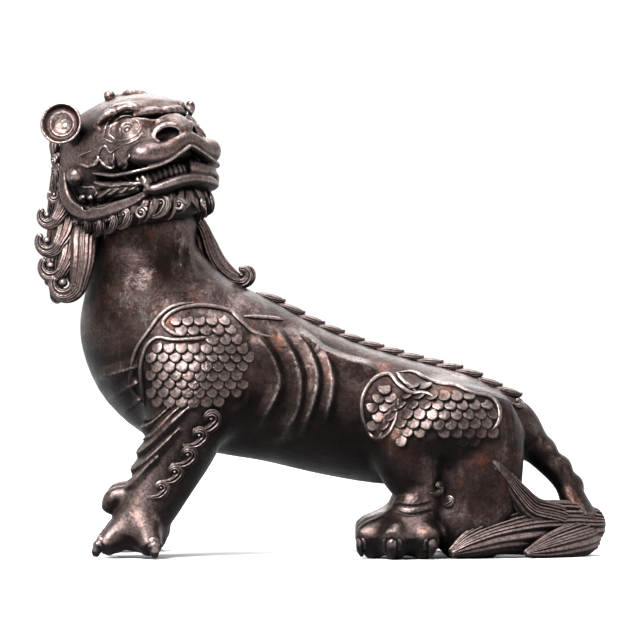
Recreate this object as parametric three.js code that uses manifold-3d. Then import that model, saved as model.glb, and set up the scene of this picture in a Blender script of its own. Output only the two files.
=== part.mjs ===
// A bronze qilin, sitting on its hind legs with its head turned back over its shoulder.
// Millimetres, +Z up. The chest faces -X, the tail +X, and the face looks to +X and -Y.
// The origin is on the ground, under the middle of the figure.
import * as THREE from "three";
import { mergeVertices } from "three/addons/utils/BufferGeometryUtils.js";
import Module from "manifold-3d";

// Driving dimensions
const LENGTH = 420; // from the mane to the bend of the tail
const HEAD_AT = [-142, -8, 294];
const HEAD_YAW = 45; // degrees from +X towards the near side, -Y
const HEAD_PITCH = 20; // degrees that the face looks up
const HEAD_ROLL = 3;
const NEAR = -1;
const FAR = 1;
const SIDES = [NEAR, FAR];
const EAR_RADIUS = 15;
const SCALE_LENGTH = 15;
const SCALE_PITCH = [16, 14.5]; // across a row, and from row to row
const CREST_PLATES = 11;
const CURL_RADIUS = 6.5;

const wasm = await Module();
wasm.setup();
const { Manifold } = wasm;

const vec = (p) => new THREE.Vector3(...p);
const radians = THREE.MathUtils.degToRad;
const ALONG_Y = vec([0, 1, 0]);
const UP = vec([0, 0, 1]);

// A closed geometry as a solid, turned the right way out.
function solid(geometry, matrix) {
  const plain = geometry.index ? geometry.toNonIndexed() : geometry.clone();
  plain.deleteAttribute("normal");
  plain.deleteAttribute("uv");
  if (matrix) plain.applyMatrix4(matrix);
  const merged = mergeVertices(plain, 1e-3);
  const faces = new Uint32Array(merged.index.array);
  const vertProperties = merged.attributes.position.array;
  const made = new Manifold(new wasm.Mesh({ numProp: 3, vertProperties, triVerts: faces }));
  if (made.volume() > 0) return made;
  for (let i = 0; i < faces.length; i += 3) {
    [faces[i + 1], faces[i + 2]] = [faces[i + 2], faces[i + 1]];
  }
  return new Manifold(new wasm.Mesh({ numProp: 3, vertProperties, triVerts: faces }));
}

function geometryOf(manifold) {
  const mesh = manifold.getMesh();
  return new THREE.BufferGeometry()
    .setAttribute("position", new THREE.BufferAttribute(mesh.vertProperties, 3))
    .setIndex(new THREE.BufferAttribute(mesh.triVerts, 1));
}

// A closed skin through rings of points, all with as many points, and a pole at each end.
function skin(rings, poles) {
  const sides = rings[0].length;
  const points = [...rings.flat(), ...poles];
  const first = points.length - 2;
  const last = points.length - 1;
  const index = [];
  for (let j = 0; j < sides; j++) {
    const k = (j + 1) % sides;
    for (let i = 0; i + 1 < rings.length; i++) {
      const a = i * sides + j;
      const b = i * sides + k;
      index.push(a, b, a + sides, b, b + sides, a + sides);
    }
    const end = (rings.length - 1) * sides;
    index.push(k, j, first, end + j, end + k, last);
  }
  return new THREE.BufferGeometry().setFromPoints(points).setIndex(index);
}

// A limb: an oval section swept through stations [x, y, z, half across the travel and up, half along up].
// Its ends are rounded by a smaller ring and a pole, or run straight to the pole where they are pointed.
// A power below 1 makes the section squarer, and start turns its first corner.
const DOME_REACH = [0.45, 0.65];
const DOME_RING = 0.75;
function limb(stations, rings, sides, { up = ALONG_Y, power = 1, start = 0, pointed = false } = {}) {
  const squarer = (v) => Math.sign(v) * Math.abs(v) ** power;
  const path = new THREE.CatmullRomCurve3(stations.map((s) => vec(s.slice(0, 3))), false, "catmullrom");
  const sizes = new THREE.CatmullRomCurve3(stations.map((s) => vec([s[3], s[4], 0])), false, "catmullrom");
  const ring = (t, shrink, reach) => {
    const along = path.getTangent(t);
    const across = along.clone().cross(up).normalize();
    const rise = across.clone().cross(along).normalize();
    const size = sizes.getPoint(t);
    const out = Math.min(size.x, size.y) * reach;
    const centre = path.getPoint(t).addScaledVector(along, out);
    if (!shrink) return centre;
    return Array.from({ length: sides }, (_, j) => {
      const turn = start + (2 * Math.PI * j) / sides;
      return centre
        .clone()
        .addScaledVector(across, size.x * shrink * squarer(Math.cos(turn)))
        .addScaledVector(rise, size.y * shrink * squarer(Math.sin(turn)));
    });
  };
  const [near, far] = DOME_REACH;
  const body = Array.from({ length: rings }, (_, i) => ring(i / (rings - 1), 1, 0));
  const domes = pointed ? [[], []] : [[ring(0, DOME_RING, -near)], [ring(1, DOME_RING, near)]];
  return skin([...domes[0], ...body, ...domes[1]], [ring(0, 0, -far), ring(1, 0, far)]);
}

function ball(at, radii, across = 8, down = 6) {
  const turn = new THREE.Matrix4().makeRotationX(Math.PI / 2);
  const place = new THREE.Matrix4().makeTranslation(...at).scale(vec(radii)).multiply(turn);
  return solid(new THREE.SphereGeometry(1, across, down), place);
}

// A curl seen as a disc from the flank, with its middle standing proud
const curl = (at, radius) =>
  solid(new THREE.SphereGeometry(radius, 5, 3), new THREE.Matrix4().makeTranslation(...at));

const join = (solids) => Manifold.union(solids);

// A point list with every y times a side, so that one table serves both flanks
const onSide = (side, rows) => rows.map(([x, y, z, ...rest]) => [x, y * side, z, ...rest]);

// Trunk, from the rump to the chest, and neck, from the chest to the nape
const TRUNK = [
  [140, 0, 87, 20, 22],
  [121, 0, 90, 33, 37],
  [96, 0, 94, 41, 46],
  [56, 0, 98, 47, 48],
  [15, 0, 107, 50, 48],
  [-25, 0, 120, 54, 50],
  [-62, 0, 133, 60, 53],
  [-95, 0, 146, 55, 52],
];
const NECK = [
  [-94, 0, 122, 48, 46],
  [-112, 0, 146, 56, 53],
  [-120, 0, 174, 57, 51],
  [-123, 0, 200, 50, 45],
  [-127, 0, 225, 42, 40],
  [-129, 0, 250, 38, 37],
  [-133, 0, 278, 30, 32],
];
const torso = () => join([solid(limb(TRUNK, 8, 12)), solid(limb(NECK, 6, 12))]);

const FORELEG = [
  [-88, 30, 160, 32, 22],
  [-90, 39, 132, 35, 23],
  [-94, 43, 108, 32, 21],
  [-101, 44, 84, 27, 19],
  [-111, 44, 63, 24, 17],
  [-120, 45, 44, 21, 17],
  [-128, 45, 30, 21, 19],
  [-132, 45, 8, 22, 21],
];
const THIGH = [
  [126, 28, 96, 24, 24],
  [106, 36, 98, 28, 26],
  [86, 41, 96, 31, 25],
  [70, 44, 84, 27, 22],
  [66, 45, 64, 22, 18],
];
const SHIN = [
  [66, 44, 84, 25, 20],
  [66, 46, 64, 22, 19],
  [71, 48, 47, 17, 17],
  [69, 50, 34, 19, 18],
  [62, 50, 8, 22, 21],
];
const HEEL = [
  [118, 28, 90, 31, 24],
  [117, 38, 68, 31, 21],
  [115, 42, 41, 30, 19],
  [110, 44, 20, 28, 19],
  [106, 44, 7, 22, 18],
];
const leg = (stations, side, rings, sides) => solid(limb(onSide(side, stations), rings, sides));

// Paws: toes spread in a fan, each with a claw. Angles are from straight ahead, -X, outwards.
const FORE_PAW = { at: [-132, 45], toes: [-45, 5, 58, 116] };
const HIND_PAW = { at: [60, 49], toes: [-28, 24, 76, 128] };
const TOE = { at: [22, 0, 11], half: [15, 11, 13] };
const CLAW = { at: [34, 0, 9], half: [4, 3, 8] };
function paw({ at, toes }, side) {
  return toes.flatMap((angle) => {
    const turn = Math.PI - side * radians(angle);
    const place = new THREE.Matrix4().makeTranslation(at[0], at[1] * side, 0);
    place.multiply(new THREE.Matrix4().makeRotationZ(turn));
    return [ball(TOE.at, TOE.half, 5, 3), ball(CLAW.at, CLAW.half, 3, 2)].map((pad) =>
      pad.transform([...place.elements]),
    );
  });
}

// The pad that stands out in front of each fore ankle
const wristPad = (side) => ball([-151, 43 * side, 40], [10, 10, 10], 6, 3);

const TAIL = [
  [126, 0, 103, 18, 18],
  [143, 0, 97, 16, 16],
  [155, 0, 82, 13, 12],
  [166, 0, 70, 10.5, 10],
  [176, -2, 59, 9.5, 9.5],
  [182, -4, 49, 9, 9],
  [187, -8, 36, 11, 12],
  [190, -12, 25, 15, 16],
];
// The tuft lies on the ground and sweeps forward past the near heel: a long lock, a short one beside
// it, and one that climbs the heel
const TUFT = [
  [
    [198, -6, 22, 16, 17],
    [180, -16, 22, 19, 18],
    [155, -32, 21, 20, 17],
    [130, -48, 17, 15, 14],
    [110, -60, 11, 11, 10],
    [96, -66, 5, 5, 5],
  ],
  [
    [196, -12, 14, 13, 13],
    [186, -28, 12, 14, 13],
    [168, -46, 8, 11, 10],
    [150, -58, 4, 4, 4],
  ],
  [
    [172, -28, 27, 12, 12],
    [152, -40, 33, 10, 9],
    [139, -48, 47, 8, 8],
    [128, -52, 64, 4, 5],
  ],
];
function tail() {
  const locks = TUFT.map((lock) => solid(limb(lock, lock.length - 1, 6)));
  return join([solid(limb(TAIL, 6, 7)), ...locks]);
}

// Head, in its own frame: x forwards, y to its left, z up
const headFrame = new THREE.Matrix4()
  .makeTranslation(...HEAD_AT)
  .multiply(
    new THREE.Matrix4().makeRotationFromEuler(
      new THREE.Euler(radians(HEAD_ROLL), -radians(HEAD_PITCH), -radians(HEAD_YAW), "ZYX"),
    ),
  );
const SKULL = [
  [-45, 0, 4, 24, 26],
  [-35, 0, 2, 33, 35],
  [-14, 0, 1, 39, 41],
  [9, 0, 3, 37, 41],
  [27, 0, 3, 31, 38],
  [39, 0, -9, 18, 36],
  [48, 0, -17, 11, 33],
];
const JAW = [
  [-30, 0, -32, 24, 36],
  [-8, 0, -42, 23, 38],
  [16, 0, -49, 17, 36],
  [37, 0, -52, 14, 32],
];
const TEETH = [
  [10, 0, -30, 14, 33],
  [43, 0, -32, 12, 30],
];
const SKULL_POWER = 0.9;
const JAW_POWER = 0.6;
const NOSE = [
  [34, 0, 12, 9, 10],
  [47, 0, 6, 8, 9],
  [57, 0, -2, 8, 10],
  [60, 0, -9, 7, 10],
];
const BROW = [
  [20, 39, 17, 4, 4],
  [29, 34, 23, 6, 5],
  [38, 26, 18, 5, 4],
  [45, 17, 19, 6, 5],
  [50, 6, 12, 4, 4],
];
const UPPER_LIP = [
  [2, 38, -18, 4, 4],
  [26, 37, -24, 6, 6],
  [46, 33, -22, 10, 10],
  [57, 18, -22, 8, 8],
  [60, 0, -17, 7, 7],
];
const LOWER_LIP = [
  [4, 37, -24, 4, 4],
  [30, 34, -39, 6, 6],
  [45, 27, -43, 7, 6],
  [49, 0, -41, 7.5, 6],
];
const JAW_BAND = [
  [-30, 34, -2, 5, 4],
  [-27, 35, -24, 6, 5],
  [-8, 36, -40, 6, 5],
  [20, 35, -46, 5, 4],
];
// The beard's lower edge, from behind the ear to the middle of the chin, and where its curls are along it
const BEARD = [
  [-38, 34, -16],
  [-30, 36, -46],
  [-6, 36, -60],
  [20, 35, -62],
  [40, 25, -63],
  [46, 0, -63],
];
const BEARD_CURLS = [0.08, 0.28, 0.48, 0.68, 0.88];
const acrossHead = (rows) => [...rows, ...onSide(-1, rows.slice(0, -1)).reverse()];

function ear(side) {
  const wall = 3;
  const depth = 11;
  const cup = [
    [0, -depth],
    [EAR_RADIUS * 0.75, -depth * 0.7],
    [EAR_RADIUS, 0],
    [EAR_RADIUS - wall, 0],
    [EAR_RADIUS * 0.6, -depth * 0.45],
    [0, wall - depth],
  ].map((p) => new THREE.Vector2(...p));
  const facing = vec([0.62, 0.76 * side, 0.05]).normalize();
  const turn = new THREE.Quaternion().setFromUnitVectors(ALONG_Y, facing);
  const place = new THREE.Matrix4().compose(vec([1, 57 * side, 23]), turn, vec([1, 1, 1]));
  const stalk = [
    [-6, 34, 18, 9, 9],
    [-4, 46, 21, 6, 6],
  ];
  const dish = solid(new THREE.LatheGeometry(cup, 9), place);
  return join([dish, solid(limb(onSide(side, stalk), 2, 5, { up: UP }))]);
}

function beardCurls(side) {
  const line = new THREE.CatmullRomCurve3(onSide(side, BEARD).map(vec));
  return BEARD_CURLS.map((t) => curl(line.getPoint(t).toArray(), CURL_RADIUS));
}

function head() {
  const masses = [
    solid(limb(SKULL, 6, 12, { power: SKULL_POWER })),
    solid(limb(JAW, 4, 8, { power: JAW_POWER, start: Math.PI / 8 })),
    solid(limb(TEETH, 2, 6, { power: JAW_POWER })),
    solid(limb(NOSE, 4, 6, { up: UP })),
    solid(limb(acrossHead(UPPER_LIP), 7, 5, { up: UP })),
    solid(limb(acrossHead(LOWER_LIP), 7, 4, { up: UP })),
    ball([16, 0, 38], [11, 9, 6], 6, 3),
  ];
  const cuts = [];
  for (const side of SIDES) {
    masses.push(
      ball([54, 13 * side, -8], [7, 8, 7], 6, 3),
      ball([37, 29 * side, 6], [9, 9, 9], 6, 4),
      ball([-14, 37 * side, -12], [8, 8, 8], 5, 3),
      solid(limb(onSide(side, BROW), 5, 4, { up: UP })),
      solid(limb(onSide(side, JAW_BAND), 4, 4)),
      solid(limb([[11, 12 * side, 37, 4, 4], [11, 12 * side, 43, 4, 4]], 2, 5)),
      ear(side),
      ...beardCurls(side),
    );
    cuts.push(ball([62, 12 * side, -8], [6, 5, 4], 5, 3));
  }
  return join(masses).subtract(join(cuts)).transform([...headFrame.elements]);
}

// Mane: columns of hanging locks round the nape, in plan about its own middle. A column's lock flares
// out, and its curls turn up at two heights, a half step lower in every second column.
const MANE_MIDDLE = [-155, 12];
const MANE_ANGLES = [228, 196, 164, 132, 100, 68];
const MANE_CORE = [
  [-150, 10, 296, 24, 28],
  [-152, 14, 262, 36, 36],
  [-154, 14, 228, 38, 36],
  [-146, 12, 200, 28, 30],
];
const MANE_LOCK = [
  [20, 288, 13, 10],
  [32, 266, 14, 10],
  [47, 234, 15, 9],
  [42, 204, 11, 8],
  [44, 190, 7, 7],
];
const CURL_HEIGHTS = [244, 210];
const CURL_REACH = 51;
const RIGHT_LOCKS = [
  [
    [-92, 14, 244, 7, 8],
    [-87, 10, 226, 8, 9],
    [-80, 8, 210, 9, 9],
    [-67, 6, 198, 9, 9],
    [-54, 5, 198, 7, 7],
  ],
  [
    [-100, 32, 250, 9, 9],
    [-92, 36, 226, 10, 9],
    [-84, 36, 206, 10, 9],
    [-70, 34, 192, 7, 8],
  ],
];
function manePoint(angle, reach, height) {
  const turn = radians(angle);
  return [MANE_MIDDLE[0] + reach * Math.cos(turn), MANE_MIDDLE[1] + reach * Math.sin(turn), height];
}
function mane() {
  const columns = MANE_ANGLES.flatMap((angle, i) => {
    const drop = i % 2 ? 14 : 0;
    const lock = MANE_LOCK.map(([reach, height, a, b]) => [...manePoint(angle, reach, height), a, b]);
    const curls = CURL_HEIGHTS.map((height) => {
      const at = manePoint(angle, CURL_REACH, height - drop);
      return curl(at, CURL_RADIUS);
    });
    return [solid(limb(lock, 4, 4)), ...curls];
  });
  const right = RIGHT_LOCKS.map((lock) => solid(limb(lock, 4, 5)));
  return join([solid(limb(MANE_CORE, 3, 7)), ...right, ...columns]);
}

// Where a line of sight meets a solid: from one flank at a place [x, z] of the side view, or from above
function sight(manifold) {
  const mesh = new THREE.Mesh(geometryOf(manifold), new THREE.MeshBasicMaterial({ side: THREE.DoubleSide }));
  const ray = new THREE.Raycaster();
  return (from, along) => {
    ray.set(from, along);
    return ray.intersectObject(mesh)[0].point;
  };
}

// The surface of a flank at [x, z] of the side view: X along the body, Y down it and Z out of it
function flankFrame(look, side, [x, z]) {
  const reach = SCALE_LENGTH / 2;
  const at = (u, v) => look(vec([x + u, side * LENGTH, z + v]), vec([0, -side, 0]));
  const along = at(reach, 0).sub(at(-reach, 0)).normalize();
  const down = at(0, -reach).sub(at(0, reach));
  down.addScaledVector(along, -down.dot(along)).normalize();
  const out = along.clone().cross(down);
  if (out.y * side < 0) out.negate();
  return new THREE.Matrix4().makeBasis(along, down, out).setPosition(at(0, 0));
}

// One scale, as along, down and out of the surface, in scale lengths: its root is sunk, its free edge
// stands out, and its underside runs back to a sunk heel
const SCALE = [
  [0, -0.5, -0.1],
  [-0.46, 0.05, 0.08],
  [-0.28, 0.46, 0.18],
  [0.28, 0.46, 0.18],
  [0.46, 0.05, 0.08],
];
const SCALE_HEEL = [0, 0, -0.4];
// Fields of scales, as ovals of the side view: middle, half sizes, and how far the rows tilt down behind
const SCALE_FIELDS = [
  { middle: [-93, 140], half: [41, 34], tilt: 0.05 },
  { middle: [91, 107], half: [40, 20], tilt: 0.3 },
];
function scale(frame) {
  const points = [...SCALE, SCALE_HEEL].map((p) => vec(p).multiplyScalar(SCALE_LENGTH));
  const heel = SCALE.length;
  const faces = SCALE.flatMap((_, i) => [i, heel, (i + 1) % heel]);
  for (let i = 1; i < heel - 1; i++) {
    faces.push(0, i, i + 1);
  }
  return solid(new THREE.BufferGeometry().setFromPoints(points).setIndex(faces), frame);
}
function scales(look, side) {
  const [pitch, drop] = SCALE_PITCH;
  return SCALE_FIELDS.flatMap(({ middle, half, tilt }) => {
    const made = [];
    const rows = Math.floor(half[1] / drop);
    for (let row = -rows; row <= rows; row++) {
      const reach = half[0] * Math.sqrt(1 - (row / (rows + 1)) ** 2);
      for (let u = (row % 2) * 0.5 * pitch - 4 * pitch; u < reach; u += pitch) {
        if (u > -reach) {
          made.push(scale(flankFrame(look, side, [middle[0] + u, middle[1] - row * drop - u * tilt])));
        }
      }
    }
    return made;
  });
}

// Raised lines on each flank, as [x, z] points of the side view: three scrolls on the shoulder, one that
// rounds the haunch, folds over the ribs and the ridge along the flank
const SCROLLS = [
  [[-127, 108], [-138, 130], [-131, 156], [-113, 178], [-92, 185]],
  [[-32, 160], [-48, 163], [-67, 179], [-92, 183], [-112, 175], [-106, 163], [-92, 162]],
  [[-77, 161], [-100, 158], [-122, 157], [-131, 134], [-127, 112]],
  [[85, 115], [62, 121], [50, 133], [34, 124], [32, 98], [46, 89], [57, 112]],
];
const FOLDS = [
  [[-42, 158], [-34, 146], [-29, 126]],
  [[-31, 160], [-20, 148], [-13, 126]],
  [[-2, 150], [18, 144], [42, 137]],
];
const LEG_FOLDS = [
  [[-124, 96], [-106, 112]],
  [[-129, 74], [-96, 100]],
];
// The far flank, which is seldom seen, is plainer: no folds, and only the scrolls' outer lines
function ridge(look, side, line, size, rings) {
  const stations = line.map(([x, z]) => {
    const at = look(vec([x, side * LENGTH, z]), vec([0, -side, 0]));
    return [at.x, at.y, at.z, size, size];
  });
  return solid(limb(stations, rings, 3, { start: (side * Math.PI) / 2, pointed: true }));
}
const ridges = (look, side) => {
  const scrolls = side === NEAR ? SCROLLS : [SCROLLS[1], SCROLLS[3]];
  const folds = side === NEAR ? [...FOLDS, ...LEG_FOLDS] : [];
  return [
    ...scrolls.map((line) => ridge(look, side, line, 3.2, line.length)),
    ...folds.map((line) => ridge(look, side, line, 4, line.length)),
  ];
};

// Curls down the back of each foreleg
const LEG_CURLS = [[-79, 105], [-87, 92], [-95, 78], [-106, 65], [-115, 54]];
const legCurls = (look, side) =>
  LEG_CURLS.map(([x, z]) => {
    const at = look(vec([x, side * LENGTH, z]), vec([0, -side, 0]));
    return curl(at.toArray(), CURL_RADIUS - 1);
  });

// Crest: plates that overlap down the spine, from the withers to the root of the tail
const CREST_FROM = -44;
const CREST_TO = 146;
const CREST_HALF_WIDTH = 7;
const CREST_RISE = 4;
function crest(look) {
  const step = (CREST_TO - CREST_FROM) / CREST_PLATES;
  const top = (x, y) => look(vec([x, y, LENGTH]), vec([0, 0, -1]));
  return Array.from({ length: CREST_PLATES }, (_, i) => {
    const x = CREST_FROM + i * step;
    const outline = [
      [0, 0],
      [1.1, -1],
      [1.4, 0],
      [1.1, 1],
    ];
    const shell = (rise) =>
      outline.map(([along, across]) => {
        const lift = along > 0 ? rise : Math.min(rise, 0.5);
        return top(x + along * step, across * CREST_HALF_WIDTH).addScaledVector(UP, lift);
      });
    const poles = [-6, CREST_RISE * 0.8].map((rise) => top(x + step * 0.7, 0).addScaledVector(UP, rise));
    return solid(skin([shell(-6), shell(CREST_RISE)], poles));
  });
}

function figure() {
  const parts = [torso(), tail()];
  for (const side of SIDES) {
    parts.push(
      leg(FORELEG, side, 7, 7),
      leg(THIGH, side, 4, 8),
      leg(SHIN, side, 5, 7),
      leg(HEEL, side, 4, 7),
      ...paw(FORE_PAW, side),
      ...paw(HIND_PAW, side),
      wristPad(side),
    );
  }
  const plain = join(parts);
  const look = sight(plain);
  const carving = SIDES.flatMap((side) =>
    [scales, ridges, legCurls].flatMap((carve) => carve(look, side)),
  );
  const below = new THREE.Matrix4().makeTranslation(0, 0, -LENGTH / 2);
  const ground = solid(new THREE.BoxGeometry(2 * LENGTH, 2 * LENGTH, LENGTH), below);
  return join([plain, ...carving, ...crest(look), mane(), head()]).subtract(ground);
}

const bronze = new THREE.MeshStandardMaterial({ color: 0x3a2a26, roughness: 0.45, metalness: 0.9 });
const qilin = new THREE.Mesh(geometryOf(figure()), bronze);
qilin.name = "qilin";
const group = new THREE.Group();
group.add(qilin);
export default group;
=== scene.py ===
import math

import bmesh
import bpy
import numpy as np
import openvdb
from mathutils import Euler, Matrix, Vector
from mathutils.bvhtree import BVHTree


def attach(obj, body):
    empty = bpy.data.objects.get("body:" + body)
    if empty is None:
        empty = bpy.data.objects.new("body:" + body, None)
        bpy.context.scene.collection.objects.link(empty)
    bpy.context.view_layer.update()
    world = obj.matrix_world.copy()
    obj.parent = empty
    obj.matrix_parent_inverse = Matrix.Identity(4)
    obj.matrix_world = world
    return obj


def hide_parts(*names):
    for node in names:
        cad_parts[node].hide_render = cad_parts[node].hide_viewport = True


# A cast bronze qilin that sits and looks back over its shoulder. Tables are in millimetres, in the
# CAD's frame: the chest faces -X, the tail +X, the near flank -Y. Meshes are in metres.
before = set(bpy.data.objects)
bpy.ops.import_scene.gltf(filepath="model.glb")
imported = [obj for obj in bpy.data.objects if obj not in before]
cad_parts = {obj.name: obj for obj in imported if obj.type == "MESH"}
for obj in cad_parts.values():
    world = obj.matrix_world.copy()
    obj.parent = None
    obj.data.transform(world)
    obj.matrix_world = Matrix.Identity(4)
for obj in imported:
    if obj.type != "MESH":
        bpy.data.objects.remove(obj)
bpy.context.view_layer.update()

MM = 0.001
THINNED_TO = 190000  # triangles of the body, and of the head
NEAR = -1
FAR = 1
SIDES = (NEAR, FAR)
ALONG_Y = (0.0, 1.0, 0.0)
UP = (0.0, 0.0, 1.0)
# Where the rays that look for the surface start: clear of the flanks, and clear of the back
BESIDE = 200
ABOVE = 340
# How far the rounded end of a limb stands out, as a share of its smaller half
LIMB_END = 0.65


def array(rows):
    return np.array(rows, float)


def unit(v):
    return v / np.maximum(np.linalg.norm(v, axis=-1, keepdims=True), 1e-9)


def mirrored(place, side):
    """A place or a way of the far side, on either side."""
    return array(place) * (1, side, 1)


def on_side(side, rows):
    """A table with every y times a side, so that one table serves both flanks."""
    flipped = array(rows)
    flipped[:, 1] *= side
    return flipped


def across(rows):
    """A line on one side, carried over the middle to the other side."""
    return np.vstack([array(rows), on_side(-1, rows)[-2::-1]])


def through(rows, steps):
    """A smooth curve through the rows of a table, with that many steps to a span."""
    rows = array(rows)
    ends = np.vstack([2 * rows[0] - rows[1], rows, 2 * rows[-1] - rows[-2]])
    t = np.linspace(0, 1, steps, endpoint=False)[:, None]
    spans = []
    for a, b, c, d in zip(ends, ends[1:], ends[2:], ends[3:]):
        leave = (c - a) / 2
        arrive = (d - b) / 2
        spans.append(
            (2 * t**3 - 3 * t**2 + 1) * b
            + (t**3 - 2 * t**2 + t) * leave
            + (3 * t**2 - 2 * t**3) * c
            + (t**3 - t**2) * arrive
        )
    return np.vstack([*spans, rows[-1:]])


def walk(line):
    """A function that gives the point at a share of a line's length, from 0 to 1."""
    travel = np.r_[0, np.cumsum(np.linalg.norm(np.diff(line, axis=0), axis=1))]
    travel /= travel[-1]
    return lambda share: array([np.interp(share, travel, line[:, axis]) for axis in range(3)])


def skin(rings, poles):
    """A closed skin through rings of points, with a pole at each end."""
    count, sides = rings.shape[:2]
    points = np.vstack([rings.reshape(-1, 3), poles])
    first = len(points) - 2
    i, j = np.meshgrid(np.arange(count - 1), np.arange(sides), indexing="ij")
    a = (i * sides + j).ravel()
    b = (i * sides + (j + 1) % sides).ravel()
    wall = np.vstack([np.c_[a, b, a + sides], np.c_[b, b + sides, a + sides]])
    j = np.arange(sides)
    k = (j + 1) % sides
    end = (count - 1) * sides
    caps = [np.c_[k, j, np.full(sides, first)], np.c_[end + j, end + k, np.full(sides, first + 1)]]
    return points, np.vstack([wall, *caps])


def limb(stations, up=ALONG_Y, steps=5, sides=32, power=1.0, grooves=None):
    """An oval section swept through stations x, y, z, half across the travel and up, half along up.
    Up is one way for all, or one for each station. A power below 1 makes the section squarer.
    Grooves are (count, share of the radius) of combed hair."""
    rows = through(stations, steps)
    ups = through(np.broadcast_to(array(up), (len(stations), 3)), steps)
    path = rows[:, :3]
    along = unit(np.gradient(path, axis=0))
    aside = unit(np.cross(along, ups))
    rise = np.cross(aside, along)
    turn = 2 * math.pi * np.arange(sides) / sides
    shape = np.c_[np.cos(turn), np.sin(turn)]
    shape = np.sign(shape) * np.abs(shape) ** power
    if grooves:
        # The combing is uneven, as it is when a hand does it
        count, share = grooves
        shifted = turn + 0.12 * np.sin(3 * turn) + 0.06 * np.sin(7 * turn)
        deep = share * (0.75 + 0.35 * np.sin(5 * turn + 1))
        shape *= (1 - deep * np.abs(np.cos(count * shifted / 2)) ** 3)[:, None]

    def ring(i, shrink, reach):
        out = min(rows[i, 3:5]) * LIMB_END * reach
        sizes = rows[i, 3:5] * shrink
        offsets = aside[i] * (shape[:, :1] * sizes[0]) + rise[i] * (shape[:, 1:] * sizes[1])
        return path[i] + along[i] * out + offsets

    dome = np.radians([70, 50, 25])
    last = len(rows) - 1
    rings = [ring(0, math.cos(a), -math.sin(a)) for a in dome]
    rings += [ring(i, 1, 0) for i in range(last + 1)]
    rings += [ring(last, math.cos(a), math.sin(a)) for a in dome[::-1]]
    poles = [path[i] + along[i] * min(rows[i, 3:5]) * LIMB_END * way for i, way in ((0, -1), (last, 1))]
    return skin(np.array(rings), np.array(poles))


def ball(at, radii, sides=24):
    """An ellipsoid with its poles up and down."""
    lift = np.radians(np.linspace(-80, 80, sides // 2 + 1))
    turn = 2 * math.pi * np.arange(sides) / sides
    level = np.c_[np.cos(turn), np.sin(turn), np.ones(sides)]
    rings = [level * (math.cos(a), math.cos(a), math.sin(a)) for a in lift]
    points, faces = skin(array(rings), array([[0, 0, -1], [0, 0, 1]]))
    return points * array(radii) + array(at), faces


def gathered(shapes):
    """Several shapes as one."""
    firsts = np.cumsum([0] + [len(points) for points, _ in shapes])
    faces = [faces + first for (_, faces), first in zip(shapes, firsts)]
    return np.vstack([points for points, _ in shapes]), np.vstack(faces)


def placed(shape, matrix):
    points, faces = shape
    matrix = np.array(matrix)
    return points @ matrix[:3, :3].T + matrix[:3, 3], faces


def seat(at, out):
    """A frame at a point, with z the way out of it."""
    return Matrix.Translation(at) @ Vector(out).to_track_quat("Z", "Y").to_matrix().to_4x4()


class Casting:
    """Forms that run into one another with rounded joins, in millimetres, negative inside."""

    OPEN = 40.0

    def __init__(self, low, high, step, reach):
        self.low = array(low)
        self.step = step
        self.reach = reach
        shape = np.ceil((array(high) - self.low) / step).astype(int) + 1
        self.values = np.full(shape, self.OPEN, np.float32)

    def heights(self):
        """The z of every level of the grid."""
        return (self.low[2] + self.step * np.arange(self.values.shape[2])).astype(np.float32)

    def distances(self, shape):
        """The part of the grid within reach of a shape, and its distances there."""
        points, faces = shape
        local = (points - self.low) / self.step
        margin = int(self.reach / self.step) + 2
        start = np.maximum(np.floor(local.min(0)).astype(int) - margin, 0)
        stop = np.minimum(np.ceil(local.max(0)).astype(int) + margin + 1, self.values.shape)
        grid = openvdb.FloatGrid.createLevelSetFromPolygons(
            local.astype(np.float32), triangles=faces.astype(np.uint32), halfWidth=float(margin)
        )
        found = np.empty(stop - start, np.float32)
        grid.copyToArray(found, ijk=tuple(int(v) for v in start))
        part = tuple(slice(a, b) for a, b in zip(start, stop))
        return part, found * self.step

    def join(self, shape, blend=1.0):
        part, other = self.distances(shape)
        mine = self.values[part]
        overlap = np.maximum(blend - np.abs(mine - other), 0)
        self.values[part] = np.minimum(mine, other) - overlap**2 / (4 * blend)

    def cut(self, shape, blend):
        part, other = self.distances(shape)
        mine = self.values[part]
        overlap = np.maximum(blend - np.abs(mine + other), 0)
        self.values[part] = np.maximum(mine, -other) + overlap**2 / (4 * blend)

    def sampled(self, places):
        """The distances at any places, blended from the eight grid points round each."""
        limit = array(self.values.shape) - 1.001
        local = np.clip((places - self.low) / self.step, 0, limit)
        cell = local.astype(int)
        share = local - cell
        total = np.zeros(len(places))
        for corner in range(8):
            step = array([corner >> axis & 1 for axis in range(3)])
            weight = np.prod(np.where(step > 0, share, 1 - share), axis=1)
            total += weight * self.values[tuple((cell + step.astype(int)).T)]
        return total

    def surface(self):
        """The surface as points in millimetres, and triangles."""
        grid = openvdb.FloatGrid(self.OPEN)
        grid.copyFromArray(np.minimum(self.values, self.OPEN))
        points, triangles, quads = grid.convertToPolygons()
        faces = np.vstack([triangles.reshape(-1, 3), quads[:, [0, 1, 2]], quads[:, [0, 2, 3]]])
        return points * self.step + self.low, faces.astype(int)


def mesh_of(name, shape):
    """A mesh in metres, from a shape in millimetres."""
    points, faces = shape
    mesh = bpy.data.meshes.new(name)
    mesh.vertices.add(len(points))
    mesh.vertices.foreach_set("co", (points * MM).astype(np.float32).ravel())
    mesh.loops.add(3 * len(faces))
    mesh.loops.foreach_set("vertex_index", faces.astype(np.int32).ravel())
    mesh.polygons.add(len(faces))
    mesh.polygons.foreach_set("loop_start", np.arange(0, 3 * len(faces), 3, dtype=np.int32))
    mesh.polygons.foreach_set("use_smooth", np.ones(len(faces), bool))
    mesh.update(calc_edges=True)
    mesh.validate()
    return mesh


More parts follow.
